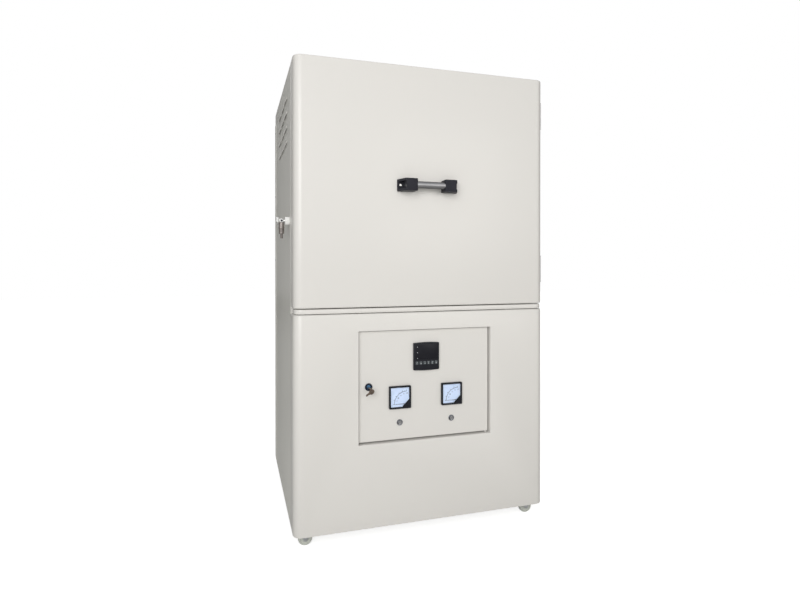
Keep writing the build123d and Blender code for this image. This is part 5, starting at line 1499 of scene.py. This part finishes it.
def makeHeater(side):
    label = sideName(side)
    node = "heater_" + label.lower()
    low, high = nodeBox(node)
    roofZ = nodeBox("insulation_roof")[0].z
    shellTop = nodeBox("furnace_shell")[1].z
    middle = ((low.x + high.x) / 2, (low.y + high.y) / 2, 0)
    rows, wide, tall = heater["rows"], heater["collar"], heater["collarHeight"]
    half, bore = heater["strapWidth"] / 2, heater["collarBore"]
    legSpan = high.y - low.y - 2 * max(half, wide)
    pitch = legSpan / (rows - 0.5)
    legGap = pitch / 2
    rods = rodUnit(roofZ, roofZ - low.z - heater["rodRadius"], high.z, legGap)
    settle(gridPiece("elementRods" + label, rods, "elementRod", (1, rows), (0, pitch), middle), "cabinet",
           "element_rod", node)
    collar = bmesh.new()
    addLathe(collar, [(bore, tall), (bore, 0), (wide - 0.6, 0), (wide, 0.8), (wide, tall * 0.45),
                      (wide - 3.5, tall * 0.55), (wide - 3.5, tall - 1.0), (wide - 4.3, tall), (bore, tall)],
             (0, 0, shellTop), (0, 0, 1), 28)
    level = shellTop + heater["strapLevel"]
    units = [("elementCollars", collar, "probeCeramic", 2 * rows, legGap)]
    for name, reach, count, step in (
        ("elementStraps", legGap / 2 + half, rows - 1, pitch), ("elementClamps", half, 2, legSpan),
    ):
        block = bmesh.new()
        addBlock(block, (-half, -reach, level), (half, reach, level + heater["strapThick"]), 1.2)
        units.append((name, block, "sinkAlloy", count, step))
    for name, unit, finishName, count, step in units:
        piece = gridPiece(name + label, unit, finishName, (1, count), (0, step), middle)
        settle(piece, "cabinet", "element_rod")


makeHeater(-1)
makeHeater(1)
print("stage: elements made")

# transformer and power controller
electric = dict(
    limb=50.0, coil=34.0, coilGap=6.0, coilRound=16.0, wirePitch=5.2, wireSwell=1.1, foot=20.0,
    fins=13, fin=3.0, base=12.0, sinkDepth=75.0, sinkHeight=180.0, footSheet=4.0,
    module=(95.0, 110.0, 42.0, 30.0), terminal=(5.5, 0.6), terminalPitch=34, terminalMargin=14,
)


def makeTransformer():
    low, high = nodeBox("transformer")
    coil, limb = electric["coil"], electric["limb"]
    coreLow = Vector((low.x + coil, low.y + coil, low.z + electric["foot"]))
    coreHigh = Vector((high.x - coil, high.y - coil, high.z))
    gap = (coreHigh.x - coreLow.x - 3 * limb) / 2
    bm = bmesh.new()
    for z0, z1 in ((coreLow.z, coreLow.z + limb), (coreHigh.z - limb, coreHigh.z)):
        addBlock(bm, (coreLow.x, coreLow.y, z0), (coreHigh.x, coreHigh.y, z1), 0.8)
    for index in range(3):
        x0 = coreLow.x + index * (limb + gap)
        addBlock(bm, (x0, coreLow.y + 0.5, coreLow.z + limb), (x0 + limb, coreHigh.y - 0.5, coreHigh.z - limb))
    for x0 in (coreLow.x, coreHigh.x - limb):
        addBlock(bm, (x0, low.y, low.z), (x0 + limb, high.y, coreLow.z), 1.0)
    fitPiece("transformerCore", bm, "coreSteel", "cabinet", "core_steel", "transformer")
    unit = bmesh.new()
    outline = roundedOutline(limb + 2 * coil, coreHigh.y - coreLow.y + 2 * coil, electric["coilRound"])
    z0 = coreLow.z + limb + electric["coilGap"]
    z1 = coreHigh.z - limb - electric["coilGap"]
    steps = int((z1 - z0) / electric["wirePitch"]) * 4
    loops = []
    for step in range(steps + 1):
        swell = electric["wireSwell"] * math.sin(math.pi * (step % 4) / 4.0)
        share = 1 - (1.3 - swell) / (limb / 2 + coil)
        level = z0 + (z1 - z0) * step / steps
        loops.append([unit.verts.new((x * share, y * share, level)) for x, y in outline])
    skinRings(unit, loops)
    unit.faces.new(loops[0])
    unit.faces.new(loops[-1])
    middle = ((coreLow.x + coreHigh.x) / 2, (coreLow.y + coreHigh.y) / 2, 0)
    coils = gridPiece("transformerCoils", unit, "coilVarnish", (3, 1), (limb + gap, 0), middle, sharpAngle=60)
    settle(coils, "cabinet", "core_steel")


def makePowerController():
    low, high = nodeBox("power_controller")
    moduleWide, moduleTall, moduleDepth, moduleRise = electric["module"]
    middleX, face = (low.x + high.x) / 2, low.y + moduleDepth
    sinkLow, sheet, base = high.z - electric["sinkHeight"], electric["footSheet"], electric["base"]
    bm = bmesh.new()
    addBlock(bm, (low.x, face, sinkLow), (high.x, face + base, high.z), 0.6)
    addBlock(bm, (low.x, face, low.z), (high.x, high.y, low.z + sheet))
    for x0 in (low.x, high.x - sheet):
        addBlock(bm, (x0, face, low.z), (x0 + sheet, high.y, sinkLow))
    fitPiece("heatSinkBase", bm, "sinkAlloy", "cabinet", "sink_alloy", "power_controller")
    fin = bmesh.new()
    thick = electric["fin"]
    addBlock(fin, (-thick / 2, 0, sinkLow), (thick / 2, electric["sinkDepth"] - base, high.z), 0.5)
    pitch = (high.x - low.x - thick) / (electric["fins"] - 1)
    fins = gridPiece("heatSinkFins", fin, "sinkAlloy", (electric["fins"], 1), (pitch, 0),
                     (middleX, face + base - 0.2, 0))
    settle(fins, "cabinet", "sink_alloy")
    bm = bmesh.new()
    z0, z1 = sinkLow + moduleRise, sinkLow + moduleRise + moduleTall
    addBlock(bm, (middleX - moduleWide / 2, low.y, z0), (middleX + moduleWide / 2, face, z1), 3.0, 3)
    fitPiece("powerModule", bm, "instrumentBlack", "cabinet", "sink_alloy")
    margin, step = electric["terminalMargin"], electric["terminalPitch"]
    spots = [(middleX + k * step, low.y + electric["terminal"][1], z) for z in (z1 - margin, z0 + margin)
             for k in (-1, 0, 1)]
    screwPiece("moduleScrews", spots, (0, -1, 0), electric["terminal"], "wornBrass", "cabinet", "sink_alloy")


makeTransformer()
makePowerController()
print("stage: electrical parts made")
